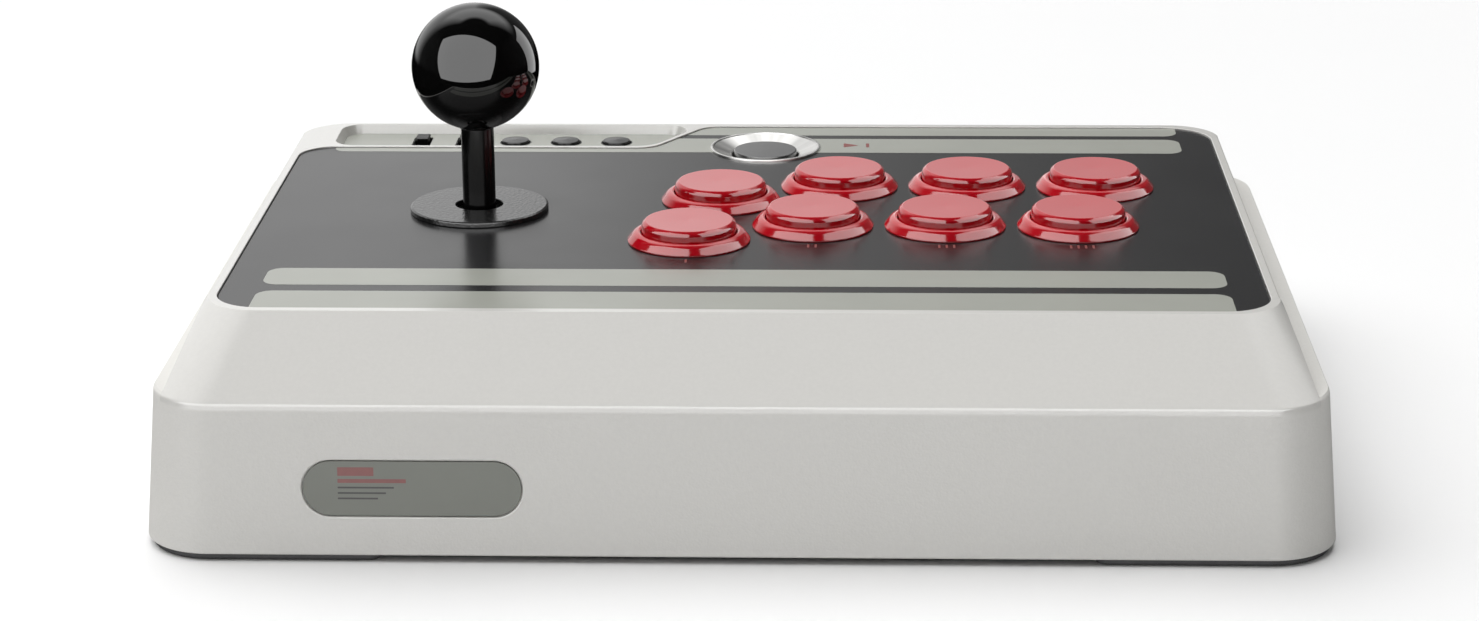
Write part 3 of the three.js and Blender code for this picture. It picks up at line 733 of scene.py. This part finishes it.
def panel_piece():
    panel = slab("control_panel_plate", panel_outline(), PANEL_LOW.z, PANEL_Z, edge=0.2)
    cut(panel, *deck_hole_tools(PANEL_LOW.z - 2, PANEL_Z + 2))
    publish(panel, "cabinet", "panel_black", MATERIALS["panel_black"], "control_panel")


# ---- Print on the panel ----
PRINT_T = 0.03
BAR_MARGIN = 0.15
BAR_X = 125.0
BAR_R = 4.2
BAR_SQUARE_R = 0.3
FRONT_BARS = ((-57.0, -42.3), (PANEL_LOW.y + BAR_MARGIN, -62.2))
BACK_BARS = ((75.9, 91.7), (95.6, PANEL_HIGH.y - BAR_MARGIN))
TALLY_PITCH = 2.0
TALLY_DROP = 19.4
TALLY_SIZE = (0.6, 3.0)
# The arrow's left and right ends and half its height, and the line that it lies on.
ARROW = (25.5, 30.0, 2.3)
ARROW_Y = 84.2


def print_bar(name, outline, tools=()):
    """A grey bar that stands above the panel by a print's thickness."""
    piece = slab(name, outline, PANEL_Z - 0.3, PANEL_Z + PRINT_T)
    if tools:
        cut(piece, *tools)
    publish(piece, "cabinet", "grey_trim", MATERIALS["printed_grey"])


def notch_x(y):
    """The panel's edge beside the control strip."""
    share = (y - NOTCH_Y) / (PANEL_HIGH.y - NOTCH_Y)
    return NOTCH_X[0] + share * (NOTCH_X[1] - NOTCH_X[0])


def start_tool():
    return round_tool(START.x, START.y, 15.6, PANEL_Z - 2, PANEL_Z + 2)


def front_bars():
    """Two bars in front of the controls. The second one runs along the panel's front edge."""
    (low, high), (edge_low, edge_high) = FRONT_BARS
    corners = [
        (-BAR_X, edge_low, BAR_SQUARE_R),
        (BAR_X, edge_low, BAR_SQUARE_R),
        (BAR_X, edge_high, BAR_R),
        (-BAR_X, edge_high, BAR_R),
    ]
    print_bar("print_bar_front_1", rectangle(-BAR_X, low, BAR_X, high, BAR_R, steps=10))
    print_bar("print_bar_front_2", rounded(corners, steps=10))


def back_bars():
    """Two bars behind the play buttons, cut short by the control strip's notch and the start button."""
    (low, high), (edge_low, edge_high) = BACK_BARS
    corners = [
        (-BAR_X, low, 3.2),
        (BAR_X, low, BAR_R),
        (BAR_X, high, BAR_R),
        (notch_x(high) + BAR_MARGIN, high, BAR_SQUARE_R),
        (NOTCH_X[0] + BAR_MARGIN, NOTCH_Y - BAR_MARGIN, 8),
        (-BAR_X, NOTCH_Y - BAR_MARGIN, BAR_SQUARE_R),
    ]
    print_bar("print_bar_back_1", rounded(corners, steps=10), [start_tool()])
    corners = [
        (notch_x(edge_low) + BAR_MARGIN, edge_low, BAR_SQUARE_R),
        (BAR_X, edge_low, BAR_R),
        (BAR_X, edge_high, BAR_SQUARE_R),
        (NOTCH_X[1] + BAR_MARGIN, edge_high, 7.5),
    ]
    print_bar("print_bar_back_2", rounded(corners, steps=10), [start_tool()])


def red_print(name, outline, z):
    piece = slab(name, outline, z - 0.2, z + PRINT_T)
    publish(piece, "cabinet", "button_red", MATERIALS["printed_red"])


def mark(name, x, y, w, h, z):
    red_print(name, rectangle(x - w / 2, y - h / 2, x + w / 2, y + h / 2, 0.25, steps=3), z)


def print_marks():
    """Plain tallies under the front buttons and a play arrow beside the start button."""
    for count, button in enumerate(BUTTONS[4:], start=1):
        for i in range(count):
            x = button.x + (i - (count - 1) / 2) * TALLY_PITCH
            mark(f"print_tally_{count}_{i + 1}", x, button.y - TALLY_DROP, *TALLY_SIZE, PANEL_Z)
    left, right, half_h = ARROW
    corners = [(left, ARROW_Y - half_h), (right, ARROW_Y), (left, ARROW_Y + half_h)]
    red_print("print_arrow", rounded([(*corner, 0.3) for corner in corners], steps=3), PANEL_Z + PRINT_T)
    mark("print_arrow_bar", 32.6, ARROW_Y, 0.9, 4.4, PANEL_Z + PRINT_T)


# ---- Control strip ----
def strip_plate():
    plate = slab("control_strip_plate", strip_outline(), STRIP_LOW.z, STRIP_Z, edge=0.1)
    cut(plate, *strip_hole_tools(STRIP_LOW.z - 2, STRIP_Z + 2))
    publish(plate, "cabinet", "grey_trim", MATERIALS["printed_grey"], "control_strip")


STEM_R = 1.8
KEY_FOOT_Z = 50
COLLAR_R = (4.35, 4.65)
LINER_LOW_Z = 49.9
LINER_FLOOR_Z = 50.4
# How thick the slot liner's side and end walls are. A knob passes the end walls closely.
LINER_WALL = (0.22, 0.04)
KNOB_FOOT_Z = 50.9
KNOB_GROOVES = 3
GROOVE_PITCH = 1.2
GROOVE_HALF = 0.25
GROOVE_DEPTH = 0.4


def strip_buttons():
    """Round black keys, each a slightly domed cap on a thinner stem."""
    for n in STRIP_BUTTONS:
        low, high = corners_mm(f"strip_button_{n}")
        at = (low + high) / 2
        r = (high.x - low.x) / 2
        profile = rounded(
            [
                (AXIS_R, low.z, 0),
                (STEM_R, low.z, 0),
                (STEM_R, KEY_FOOT_Z, 0),
                (r, KEY_FOOT_Z, 0),
                (r, high.z - 0.1, 0.35),
                (AXIS_R, high.z + 0.08, 0),
            ],
            closed=False,
            steps=8,
        )
        dome = turned(f"strip_button_{n}_dome", profile, at.x, at.y)
        publish(dome, f"strip_button_{n}_body", "gloss_black", MATERIALS["key_black"], f"strip_button_{n}")


def strip_collars():
    """A thin dark liner in each round hole, which the button slides in."""
    inner, outer = COLLAR_R
    low, high = STRIP_Z - 1.0, STRIP_Z + 0.12
    ring = rounded([(inner, low, 0), (outer, low, 0), (outer, high, 0.1), (inner, high, 0.1)], steps=3)
    for n in STRIP_BUTTONS:
        at = middle_mm(f"strip_button_{n}")
        collar = turned(f"strip_collar_{n}", ring, at.x, at.y, closed=True)
        publish(collar, "cabinet", "black_plastic", MATERIALS["satin_black"])


def slot_liners():
    """The black switch bodies seen through the two slots."""
    half_w, half_d = SLOT_HALF[0] - 0.03, SLOT_HALF[1] - 0.03
    side, end = LINER_WALL
    for n in SLIDES:
        x = middle_mm(f"slide_switch_{n}").x
        low = (x - half_w, SLOT_Y - half_d, LINER_LOW_Z)
        high = (x + half_w, SLOT_Y + half_d, STRIP_Z - 0.35)
        liner = box_piece(f"slot_liner_{n}", low, high)
        well_low = (low[0] + side, low[1] + end, LINER_FLOOR_Z)
        well = box_piece("tool", well_low, (high[0] - side, high[1] - end, high[2] + 1))
        gap = box_piece("tool", (x - 1.4, low[1] + 0.5, low[2] - 1), (x + 1.4, high[1] - 0.5, 51))
        cut(liner, well, gap)
        publish(liner, "cabinet", "black_plastic", MATERIALS["satin_black"])


def slide_knobs():
    """Black knobs with grooves across their tops, each on a tongue that reaches down to its switch."""
    for n in SLIDES:
        low, high = corners_mm(f"slide_switch_{n}")
        at = (low + high) / 2
        half_w, half_d = (high.x - low.x) / 2, (high.y - low.y) / 2
        foot = (at.x - half_w, at.y - half_d, KNOB_FOOT_Z)
        knob = box_piece(f"slide_knob_{n}", foot, (at.x + half_w, at.y + half_d, high.z), 0.4)
        join(knob, box_piece("tool", (at.x - 1, at.y - 1.2, low.z), (at.x + 1, at.y + 1.2, 51.2)))
        grooves = []
        for i in range(KNOB_GROOVES):
            y = at.y + (i - 1) * GROOVE_PITCH
            groove_low = (at.x - 4, y - GROOVE_HALF, high.z - GROOVE_DEPTH)
            grooves.append(box_piece("tool", groove_low, (at.x + 4, y + GROOVE_HALF, high.z + 1)))
        cut(knob, *grooves)
        node = f"slide_switch_{n}"
        publish(knob, node + "_body", "black_plastic", MATERIALS["key_black"], node)


# ---- Front label ----
# Plain bars on the label: each one's material, width, height above the label's middle and half thickness.
LABEL_LINES = (
    ("printed_red", 9.0, 4.3, 1.1),
    ("printed_red", 17.0, 1.9, 0.5),
    ("satin_black", 14.0, 0.2, 0.22),
    ("satin_black", 12.0, -1.2, 0.22),
    ("satin_black", 10.0, -2.6, 0.22),
)
LABEL_LEFT = -18.5


def front_label():
    outline = pill_outline(27.2, 7.0)
    rings = [on_wall(outline, 1.0), on_wall(outline, 0.42), on_wall(grown(outline, -0.08), 0.34)]
    plate = skin("front_label_plate", rings)
    publish(plate, "cabinet", "grey_trim", MATERIALS["label_grey"], "front_label")


def label_lines():
    for i, (material, w, y, half_h) in enumerate(LABEL_LINES, start=1):
        outline = rectangle(LABEL_LEFT, y - half_h, LABEL_LEFT + w, y + half_h, 0.12, steps=2)
        line = skin(f"label_line_{i}", [on_wall(outline, 0.5), on_wall(outline, 0.32)])
        publish(line, "cabinet", "grey_trim", MATERIALS[material])


# ---- Lever ----
BALL_STEPS = 56
SOCKET_R = 3.8
SLEEVE_BORE_R = 3.7
WASHER_HOLE_R = 6.55


def ball():
    """The ball top: a sphere with a small neck collar round its threaded socket."""
    z = corners_mm("ball_top")[1].z - BALL_R
    collar_r, collar_z = 5.4, z - BALL_R + 0.5
    start = math.asin(collar_r / BALL_R)
    sweep = math.pi - 0.004 - start
    arc = [start + sweep * i / BALL_STEPS for i in range(BALL_STEPS + 1)]
    profile = [Vector((SOCKET_R, z - 12)), Vector((SOCKET_R, collar_z)), Vector((collar_r - 0.3, collar_z))]
    profile += [Vector((BALL_R * math.sin(a), z - BALL_R * math.cos(a))) for a in arc]
    piece = turned("ball_top_sphere", profile, LEVER.x, LEVER.y, sides=FINEST_SIDES)
    publish(piece, "lever", "ball_black", MATERIALS["gloss_black"], "ball_top", angle=ROUND_ANGLE)


def shaft_sleeve():
    """The plastic tube round the shaft, which runs up into the ball's collar."""
    low, high = corners_mm("shaft_cover")
    r = (high.x - low.x) / 2
    top = high.z + 0.4
    corners = [(SLEEVE_BORE_R, low.z, 0), (r, low.z, 0.3), (r, top, 0.3), (SLEEVE_BORE_R, top, 0)]
    profile = rounded(corners, steps=4)
    piece = turned("shaft_sleeve", profile, LEVER.x, LEVER.y, closed=True)
    publish(piece, "lever", "gloss_black", MATERIALS["shaft_black"], "shaft_cover")


def washer():
    """The dust washer: a disc with a narrow bevel round its top."""
    low, high = corners_mm("dust_washer")
    r = (high.x - low.x) / 2
    profile = rounded(
        [
            (WASHER_HOLE_R, ON_PANEL_Z, 0.2),
            (r, ON_PANEL_Z, 0.3),
            (r, high.z - 0.35, 0.2),
            (r - 0.5, high.z, 0.25),
            (WASHER_HOLE_R, high.z, 0.3),
        ],
        steps=4,
    )
    piece = turned("dust_washer_disc", profile, LEVER.x, LEVER.y, closed=True, sides=FINEST_SIDES)
    publish(piece, "cabinet", "black_plastic", MATERIALS["washer_black"], "dust_washer")


# ---- Play buttons ----
BARREL_R = 14.7
BARREL_FLOOR_R = 4.0
BARREL_FLOOR = 1.5
BARREL_BORE_R = 13.08
TAB_X = 15.2
PLUNGER_STEM_R = 3
PLUNGER_FOOT_Z = 47


def button_flange(n, at):
    """A button's housing: a flange with a hollow-sided crest, and a barrel with two tabs under the deck."""
    low, high = corners_mm(f"button_housing_{n}")
    r, crest = (high.x - low.x) / 2, high.z
    floor_z = low.z + BARREL_FLOOR
    profile = rounded(
        [
            (BARREL_FLOOR_R, low.z, 0),
            (BARREL_R, low.z, 0.8),
            (BARREL_R, ON_PANEL_Z, 0),
            (r - 0.05, ON_PANEL_Z, 0.2),
            (r, PANEL_Z + 0.5, 0.4),
            (r - 1.65, crest - 0.35, 2.5),
            (r - 2.95, crest + 0.05, 0.8),
            (BARREL_BORE_R, crest - 0.2, 0.25),
            (BARREL_BORE_R, floor_z, 0),
            (BARREL_FLOOR_R, floor_z, 0),
        ],
        steps=6,
    )
    piece = turned(f"button_flange_{n}", profile, at.x, at.y, closed=True, sides=FINE_SIDES)
    tabs = []
    for side in (-1, 1):
        x = at.x + side * TAB_X
        tabs.append(box_piece("tool", (x - 1, at.y - 3, 47.3), (x + 1, at.y + 3, 51.0)))
    join(piece, *tabs)
    node = f"button_housing_{n}"
    publish(piece, "cabinet", "button_red", MATERIALS["button_red"], node, angle=ROUND_ANGLE)


def button_cap(n, at):
    """A button's plunger: a cap with a bevelled, slightly dished top on a thinner stem."""
    low, high = corners_mm(f"button_plunger_{n}")
    r = (high.x - low.x) / 2
    profile = rounded(
        [
            (AXIS_R, low.z, 0),
            (PLUNGER_STEM_R, low.z, 0.3),
            (PLUNGER_STEM_R, PLUNGER_FOOT_Z, 0),
            (r, PLUNGER_FOOT_Z, 0.4),
            (r, high.z - 0.85, 1.5),
            (r - 1.05, high.z, 0.5),
            (AXIS_R, high.z - 0.12, 0),
        ],
        closed=False,
        steps=7,
    )
    piece = turned(f"button_cap_{n}", profile, at.x, at.y, sides=FINE_SIDES)
    node = f"button_plunger_{n}"
    publish(piece, f"button_{n}", "button_red", MATERIALS["button_red"], node, angle=ROUND_ANGLE)


def play_buttons():
    for n, at in enumerate(BUTTONS, start=1):
        button_flange(n, at)
        button_cap(n, at)


# ---- Start button ----
START_BARREL_R = 14.9
START_CAP_LOW, START_CAP_HIGH = corners_mm("start_cap")
START_CAP_R = (START_CAP_HIGH.x - START_CAP_LOW.x) / 2 - 0.12
START_STEM_R = 2.5
START_CAP_FOOT_Z = 50


def start_bezel():
    """A turned metal ring: a narrow flat lip, then a cone that falls to the cap."""
    low, high = corners_mm("start_bezel")
    r, lip = (high.x - low.x) / 2, high.z
    bore = START_CAP_R + 0.62
    profile = rounded(
        [
            (bore, low.z, 0),
            (START_BARREL_R, low.z, 0),
            (START_BARREL_R, ON_PANEL_Z, 0),
            (r, ON_PANEL_Z, 0),
            (r, lip, 0.2),
            (r - 0.75, lip, 0.15),
            (r - 0.95, lip - 0.3, 0.1),
            (bore + 0.3, START_CAP_HIGH.z - 1.2, 0.15),
            (bore, START_CAP_HIGH.z - 1.5, 0.1),
        ],
        steps=4,
    )
    bezel = turned("start_bezel_ring", profile, START.x, START.y, closed=True, sides=FINEST_SIDES)
    publish(bezel, "cabinet", "bezel_satin", MATERIALS["spun_metal"], "start_bezel")


def start_cap():
    profile = rounded(
        [
            (AXIS_R, START_CAP_LOW.z, 0),
            (START_STEM_R, START_CAP_LOW.z, 0),
            (START_STEM_R, START_CAP_FOOT_Z, 0),
            (START_CAP_R, START_CAP_FOOT_Z, 0.4),
            (START_CAP_R, START_CAP_HIGH.z + 0.1, 0.35),
            (AXIS_R, START_CAP_HIGH.z + 0.15, 0),
        ],
        closed=False,
        steps=5,
    )
    cap = turned("start_cap_disc", profile, START.x, START.y, sides=FINE_SIDES)
    publish(cap, "start_button", "start_grey", MATERIALS["start_black"], "start_cap")


# ---- Underside ----
FOOT_BAND = 15
SCREW_HEAD_R = 2.9
SCREW_SHANK_R = 1.5
SCREW_HEAD_H = 1.1
CROSS_HALF = 0.3
CROSS_DEPTH = 0.7


def feet():
    """Rubber corner pads with bevelled edges, pressed up against the case."""
    for name in CASE_CORNERS:
        low, high = corners_mm("foot_" + name)
        sx = 1 if low.x + high.x > 0 else -1
        sy = 1 if low.y + high.y > 0 else -1
        x, y = (high.x if sx > 0 else -low.x), (high.y if sy > 0 else -low.y)
        leg_x, leg_y, band = high.x - low.x, high.y - low.y, FOOT_BAND
        corners = [
            (x, y, 16.5),
            (x - leg_x, y, 3),
            (x - leg_x, y - band, 3),
            (x - band - 6, y - band, 6),
            (x - band, y - band - 6, 6),
            (x - band, y - leg_y, 3),
            (x, y - leg_y, 3),
        ]
        corners = [(sx * a, sy * b, r) for a, b, r in corners]
        if sx * sy < 0:
            corners.reverse()
        outline = rounded(corners, steps=8)
        rings = [
            at_height(grown(outline, -0.9), 0),
            at_height(grown(outline, -0.35), 0.15),
            at_height(grown(outline, -0.05), 0.6),
            at_height(outline, 1.0),
            at_height(outline, CASE_LOW.z + 0.05),
        ]
        pad = skin("foot_pad_" + name, rings)
        screw = middle_mm("case_screw_" + name)
        cut(pad, round_tool(screw.x, screw.y, 3.9, -1, 3))
        publish(pad, "cabinet", "foot_rubber", MATERIALS["foot_rubber"], "foot_" + name)


def base_cover():
    """The base plate with a chamfered edge, screw wells and a shallow panel in its middle."""
    low, high = corners_mm("base_plate")
    outline = rectangle(-high.x, -high.y, high.x, high.y, 17, steps=12)
    rings = [at_height(grown(outline, -0.5), low.z)]
    rings += [at_height(outline, z) for z in (low.z + 0.5, high.z)]
    plate = skin("base_cover_plate", rings)
    tools = []
    for name in CASE_CORNERS:
        at = middle_mm("case_screw_" + name)
        tools.append(round_tool(at.x, at.y, 3.2, low.z - 1, low.z + 1.5))
        tools.append(round_tool(at.x, at.y, 1.8, low.z - 1, high.z + 1))
    inner = rectangle(-90, -62, 90, 62, 6, steps=8)
    tools.append(skin("tool", [at_height(grown(inner, -dip), low.z + dip) for dip in (-0.4, 0.4)]))
    cut(plate, *tools)
    publish(plate, "cabinet", "base_plastic", MATERIALS["base_plastic"], "base_plate")


def screws():
    """Pan-head screws with a cross recess."""
    for name in CASE_CORNERS:
        low, high = corners_mm("case_screw_" + name)
        at = (low + high) / 2
        profile = rounded(
            [
                (AXIS_R, low.z, 0),
                (SCREW_HEAD_R, low.z, 0.5),
                (SCREW_HEAD_R, low.z + SCREW_HEAD_H, 0),
                (SCREW_SHANK_R, low.z + SCREW_HEAD_H, 0),
                (SCREW_SHANK_R, high.z, 0),
                (AXIS_R, high.z, 0),
            ],
            closed=False,
            steps=4,
        )
        screw = turned("screw_" + name, profile, at.x, at.y, sides=40)
        bars = []
        for half_x, half_y in ((1.5, CROSS_HALF), (CROSS_HALF, 1.5)):
            bar_low = (at.x - half_x, at.y - half_y, low.z - 1)
            bars.append(box_piece("tool", bar_low, (at.x + half_x, at.y + half_y, low.z + CROSS_DEPTH)))
        cut(screw, *bars)
        publish(screw, "cabinet", "screw_steel", MATERIALS["zinc_steel"], "case_screw_" + name)


# ---- CAD nodes that stay as they are ----
INNER_FINISH = {
    "circuit_board": "circuit_green",
    "bright_metal": "bright_steel",
    "battery_wrap": "battery_wrap",
    "black_plastic": "satin_black",
}


def finish_inner_nodes():
    slots = {part["node"]: part["material_slot"] for part in frame["record"]["subparts"]}
    for name, node in frame["nodes"].items():
        if node.hide_render:
            continue
        node.data.materials.clear()
        node.data.materials.append(MATERIALS[INNER_FINISH[slots[name]]])


# ---- Stage ----
LENS = 84.51
CAMERA_AT = Vector((0.028575, -0.912379, 0.321559))
CAMERA_PITCH, CAMERA_YAW, CAMERA_ROLL = (math.radians(a) for a in (17.66, 1.9706, 0.3501))
FLOOR_HALF = 6000
# Brightness of the studio's walls by compass direction: 0 is straight behind the object, 90 its right side.
LOW_WALL = (
    (-180, 0.0),
    (-66, 0.05),
    (-46, 1.0),
    (-5.5, 1.0),
    (-2.5, 0.5),
    (2.3, 0.25),
    (6, 0.1),
    (14, 0.1),
    (120, 0.0),
)
HIGH_WALL = ((-66, 0.0), (-38, 1.9), (38, 1.9), (66, 0.0))
# How much of each wall shows by height in degrees.
LOW_WALL_RISE = ((-6, 0.0), (-1, 1.0), (32, 1.0), (42, 0.0))
HIGH_WALL_RISE = ((32, 0.0), (42, 1.0), (64, 1.0), (71, 0.0))
SOFT_LEVEL = 0.12
BALL_AT = (-0.0755, 0.014, 0.096)
# Each softbox's receivers, place, the point it faces, its size in metres and its brightness.
SOFTBOXES = {
    "front_softbox": ("not_red", (-0.35, -1.15, 0.72), BALL_AT, (3.6, 2.5), 4.1),
    "side_softbox": ("lever", (1.5, 1.3, 0.35), BALL_AT, (1.1, 1.6), 2.4),
    "red_screen": ("red", (0.25, 2.6, 0.95), (0.045, 0, 0.055), (1.2, 1.7), 0.46),
    "red_softbox_left": ("red", (-0.84, -0.82, 1.9), (0.045, -0.01, 1.9), (2.7, 3.7), 4.2),
    "red_softbox_right": ("red", (1.22, -0.24, 1.75), (0.045, -0.01, 1.75), (2.6, 3.4), 3.6),
}


def camera():
    data = bpy.data.cameras.new("camera")
    data.lens = LENS
    data.sensor_width = 36
    obj = bpy.data.objects.new("camera", data)
    turn = Matrix.Rotation(CAMERA_YAW, 3, "Z") @ Matrix.Rotation(-CAMERA_PITCH, 3, "X")
    turn = turn @ Matrix.Rotation(CAMERA_ROLL, 3, "Y") @ Matrix.Rotation(math.pi / 2, 3, "X")
    obj.matrix_world = Matrix.Translation(CAMERA_AT) @ turn.to_4x4()
    bpy.context.scene.collection.objects.link(obj)
    bpy.context.scene.camera = obj


def floor():
    """A pale floor, which glossy pieces don't reflect."""
    outline = rectangle(-FLOOR_HALF, -FLOOR_HALF, FLOOR_HALF, FLOOR_HALF)
    piece = slab("floor", outline, -20, -0.02)
    surface = Surface("floor_white", (0.9, 0.9, 0.9), 0.55)
    surface.vary_color(surface.noise(3, 2), 0.004)
    piece.data.materials.append(surface.material)
    piece.visible_glossy = False


def world():
    """A studio: soft even light for matt surfaces, and a darker room with bright walls for glossy ones."""
    shell = bpy.data.worlds.new("studio")
    bpy.context.scene.world = shell
    shell.use_nodes = True
    shell.cycles.sampling_method = "NONE"
    nodes, links = shell.node_tree.nodes, shell.node_tree.links
    background = nodes["Background"]
    background.inputs["Color"].default_value = (1, 1, 1, 1)
    direction = nodes.new("ShaderNodeTexCoord").outputs["Generated"]
    split = nodes.new("ShaderNodeSeparateXYZ")
    links.new(direction, split.inputs["Vector"])

    def math_node(operation, a, b=0.0):
        node = nodes.new("ShaderNodeMath")
        node.operation = operation
        for socket, value in zip(node.inputs, (a, b)):
            if isinstance(value, (int, float)):
                socket.default_value = value
            else:
                links.new(value, socket)
        return node.outputs["Value"]

    def ramp(value, stops):
        """A smooth ramp through (degrees, brightness) stops over -180 to 180."""
        share = math_node("DIVIDE", math_node("ADD", value, 180.0), 360.0)
        node = nodes.new("ShaderNodeValToRGB")
        elements = node.color_ramp.elements
        while len(elements) > 1:
            elements.remove(elements[-1])
        elements[0].position = (stops[0][0] + 180) / 360
        elements[0].color = (*[stops[0][1]] * 3, 1)
        for degrees, level in stops[1:]:
            elements.new((degrees + 180) / 360).color = (level, level, level, 1)
        links.new(share, node.inputs["Fac"])
        return node.outputs["Color"]

    to_degrees = 180 / math.pi
    behind = math_node("MULTIPLY", math_node("ARCTAN2", split.outputs["X"], split.outputs["Y"]), to_degrees)
    height = math_node("MULTIPLY", math_node("ARCSINE", split.outputs["Z"]), to_degrees)
    low_part = math_node("MULTIPLY", ramp(behind, LOW_WALL), ramp(height, LOW_WALL_RISE))
    high_part = math_node("MULTIPLY", ramp(behind, HIGH_WALL), ramp(height, HIGH_WALL_RISE))
    glossy = math_node("ADD", low_part, high_part)
    path = nodes.new("ShaderNodeLightPath")
    is_glossy = path.outputs["Is Glossy Ray"]
    matt = math_node("MULTIPLY", math_node("SUBTRACT", 1.0, is_glossy), SOFT_LEVEL)
    total = math_node("ADD", matt, math_node("MULTIPLY", glossy, is_glossy))
    links.new(total, background.inputs["Strength"])


def sun(name, tilt_x, tilt_y, spread, strength):
    """A very broad light from far away, tilted in degrees towards the front and the left."""
    data = bpy.data.lights.new(name, "SUN")
    data.angle = math.radians(spread)
    data.energy = strength
    obj = bpy.data.objects.new(name, data)
    obj.rotation_euler = (math.radians(tilt_x), math.radians(tilt_y), 0)
    obj.visible_glossy = False
    bpy.context.scene.collection.objects.link(obj)


def softbox(name, place, aim, size, level, receivers):
    """A glowing rectangle that only shows in reflections, and only on its receivers."""
    data = bpy.data.lights.new(name, "AREA")
    data.shape = "RECTANGLE"
    data.size, data.size_y = size
    data.energy = level * math.pi * data.size * data.size_y
    obj = bpy.data.objects.new(name, data)
    obj.location = Vector(place)
    obj.rotation_euler = (Vector(aim) - Vector(place)).to_track_quat("-Z", "Y").to_euler()
    obj.visible_diffuse = False
    obj.light_linking.receiver_collection = receivers
    bpy.context.scene.collection.objects.link(obj)


def receivers(name, materials, inside=True):
    """The pieces that have, or don't have, the materials, as a group for a light that only they reflect."""
    group = bpy.data.collections.new(name + "_pieces")
    chosen = [MATERIALS[material] for material in materials]
    for piece in bpy.data.objects:
        if piece.type == "MESH" and (piece.data.materials[0] in chosen) == inside:
            group.objects.link(piece)
    return group


def softboxes():
    """The red buttons reflect their own softboxes, and the lever has one more than the rest."""
    groups = {
        "red": receivers("red", ["button_red"]),
        "not_red": receivers("not_red", ["button_red"], inside=False),
        "lever": receivers("lever", ["gloss_black", "shaft_black"]),
    }
    for name, (group, *values) in SOFTBOXES.items():
        softbox(name, *values, groups[group])


def look():
    scene = bpy.context.scene
    scene.view_settings.view_transform = "Standard"
    scene.view_settings.look = "None"


case_piece()
panel_piece()
front_bars()
back_bars()
print_marks()
strip_plate()
strip_buttons()
strip_collars()
slot_liners()
slide_knobs()
front_label()
label_lines()
ball()
shaft_sleeve()
washer()
play_buttons()
start_bezel()
start_cap()
feet()
base_cover()
screws()
finish_inner_nodes()
camera()
floor()
world()
sun("overhead", -14, -20, 84, 3.4)
softboxes()
look()
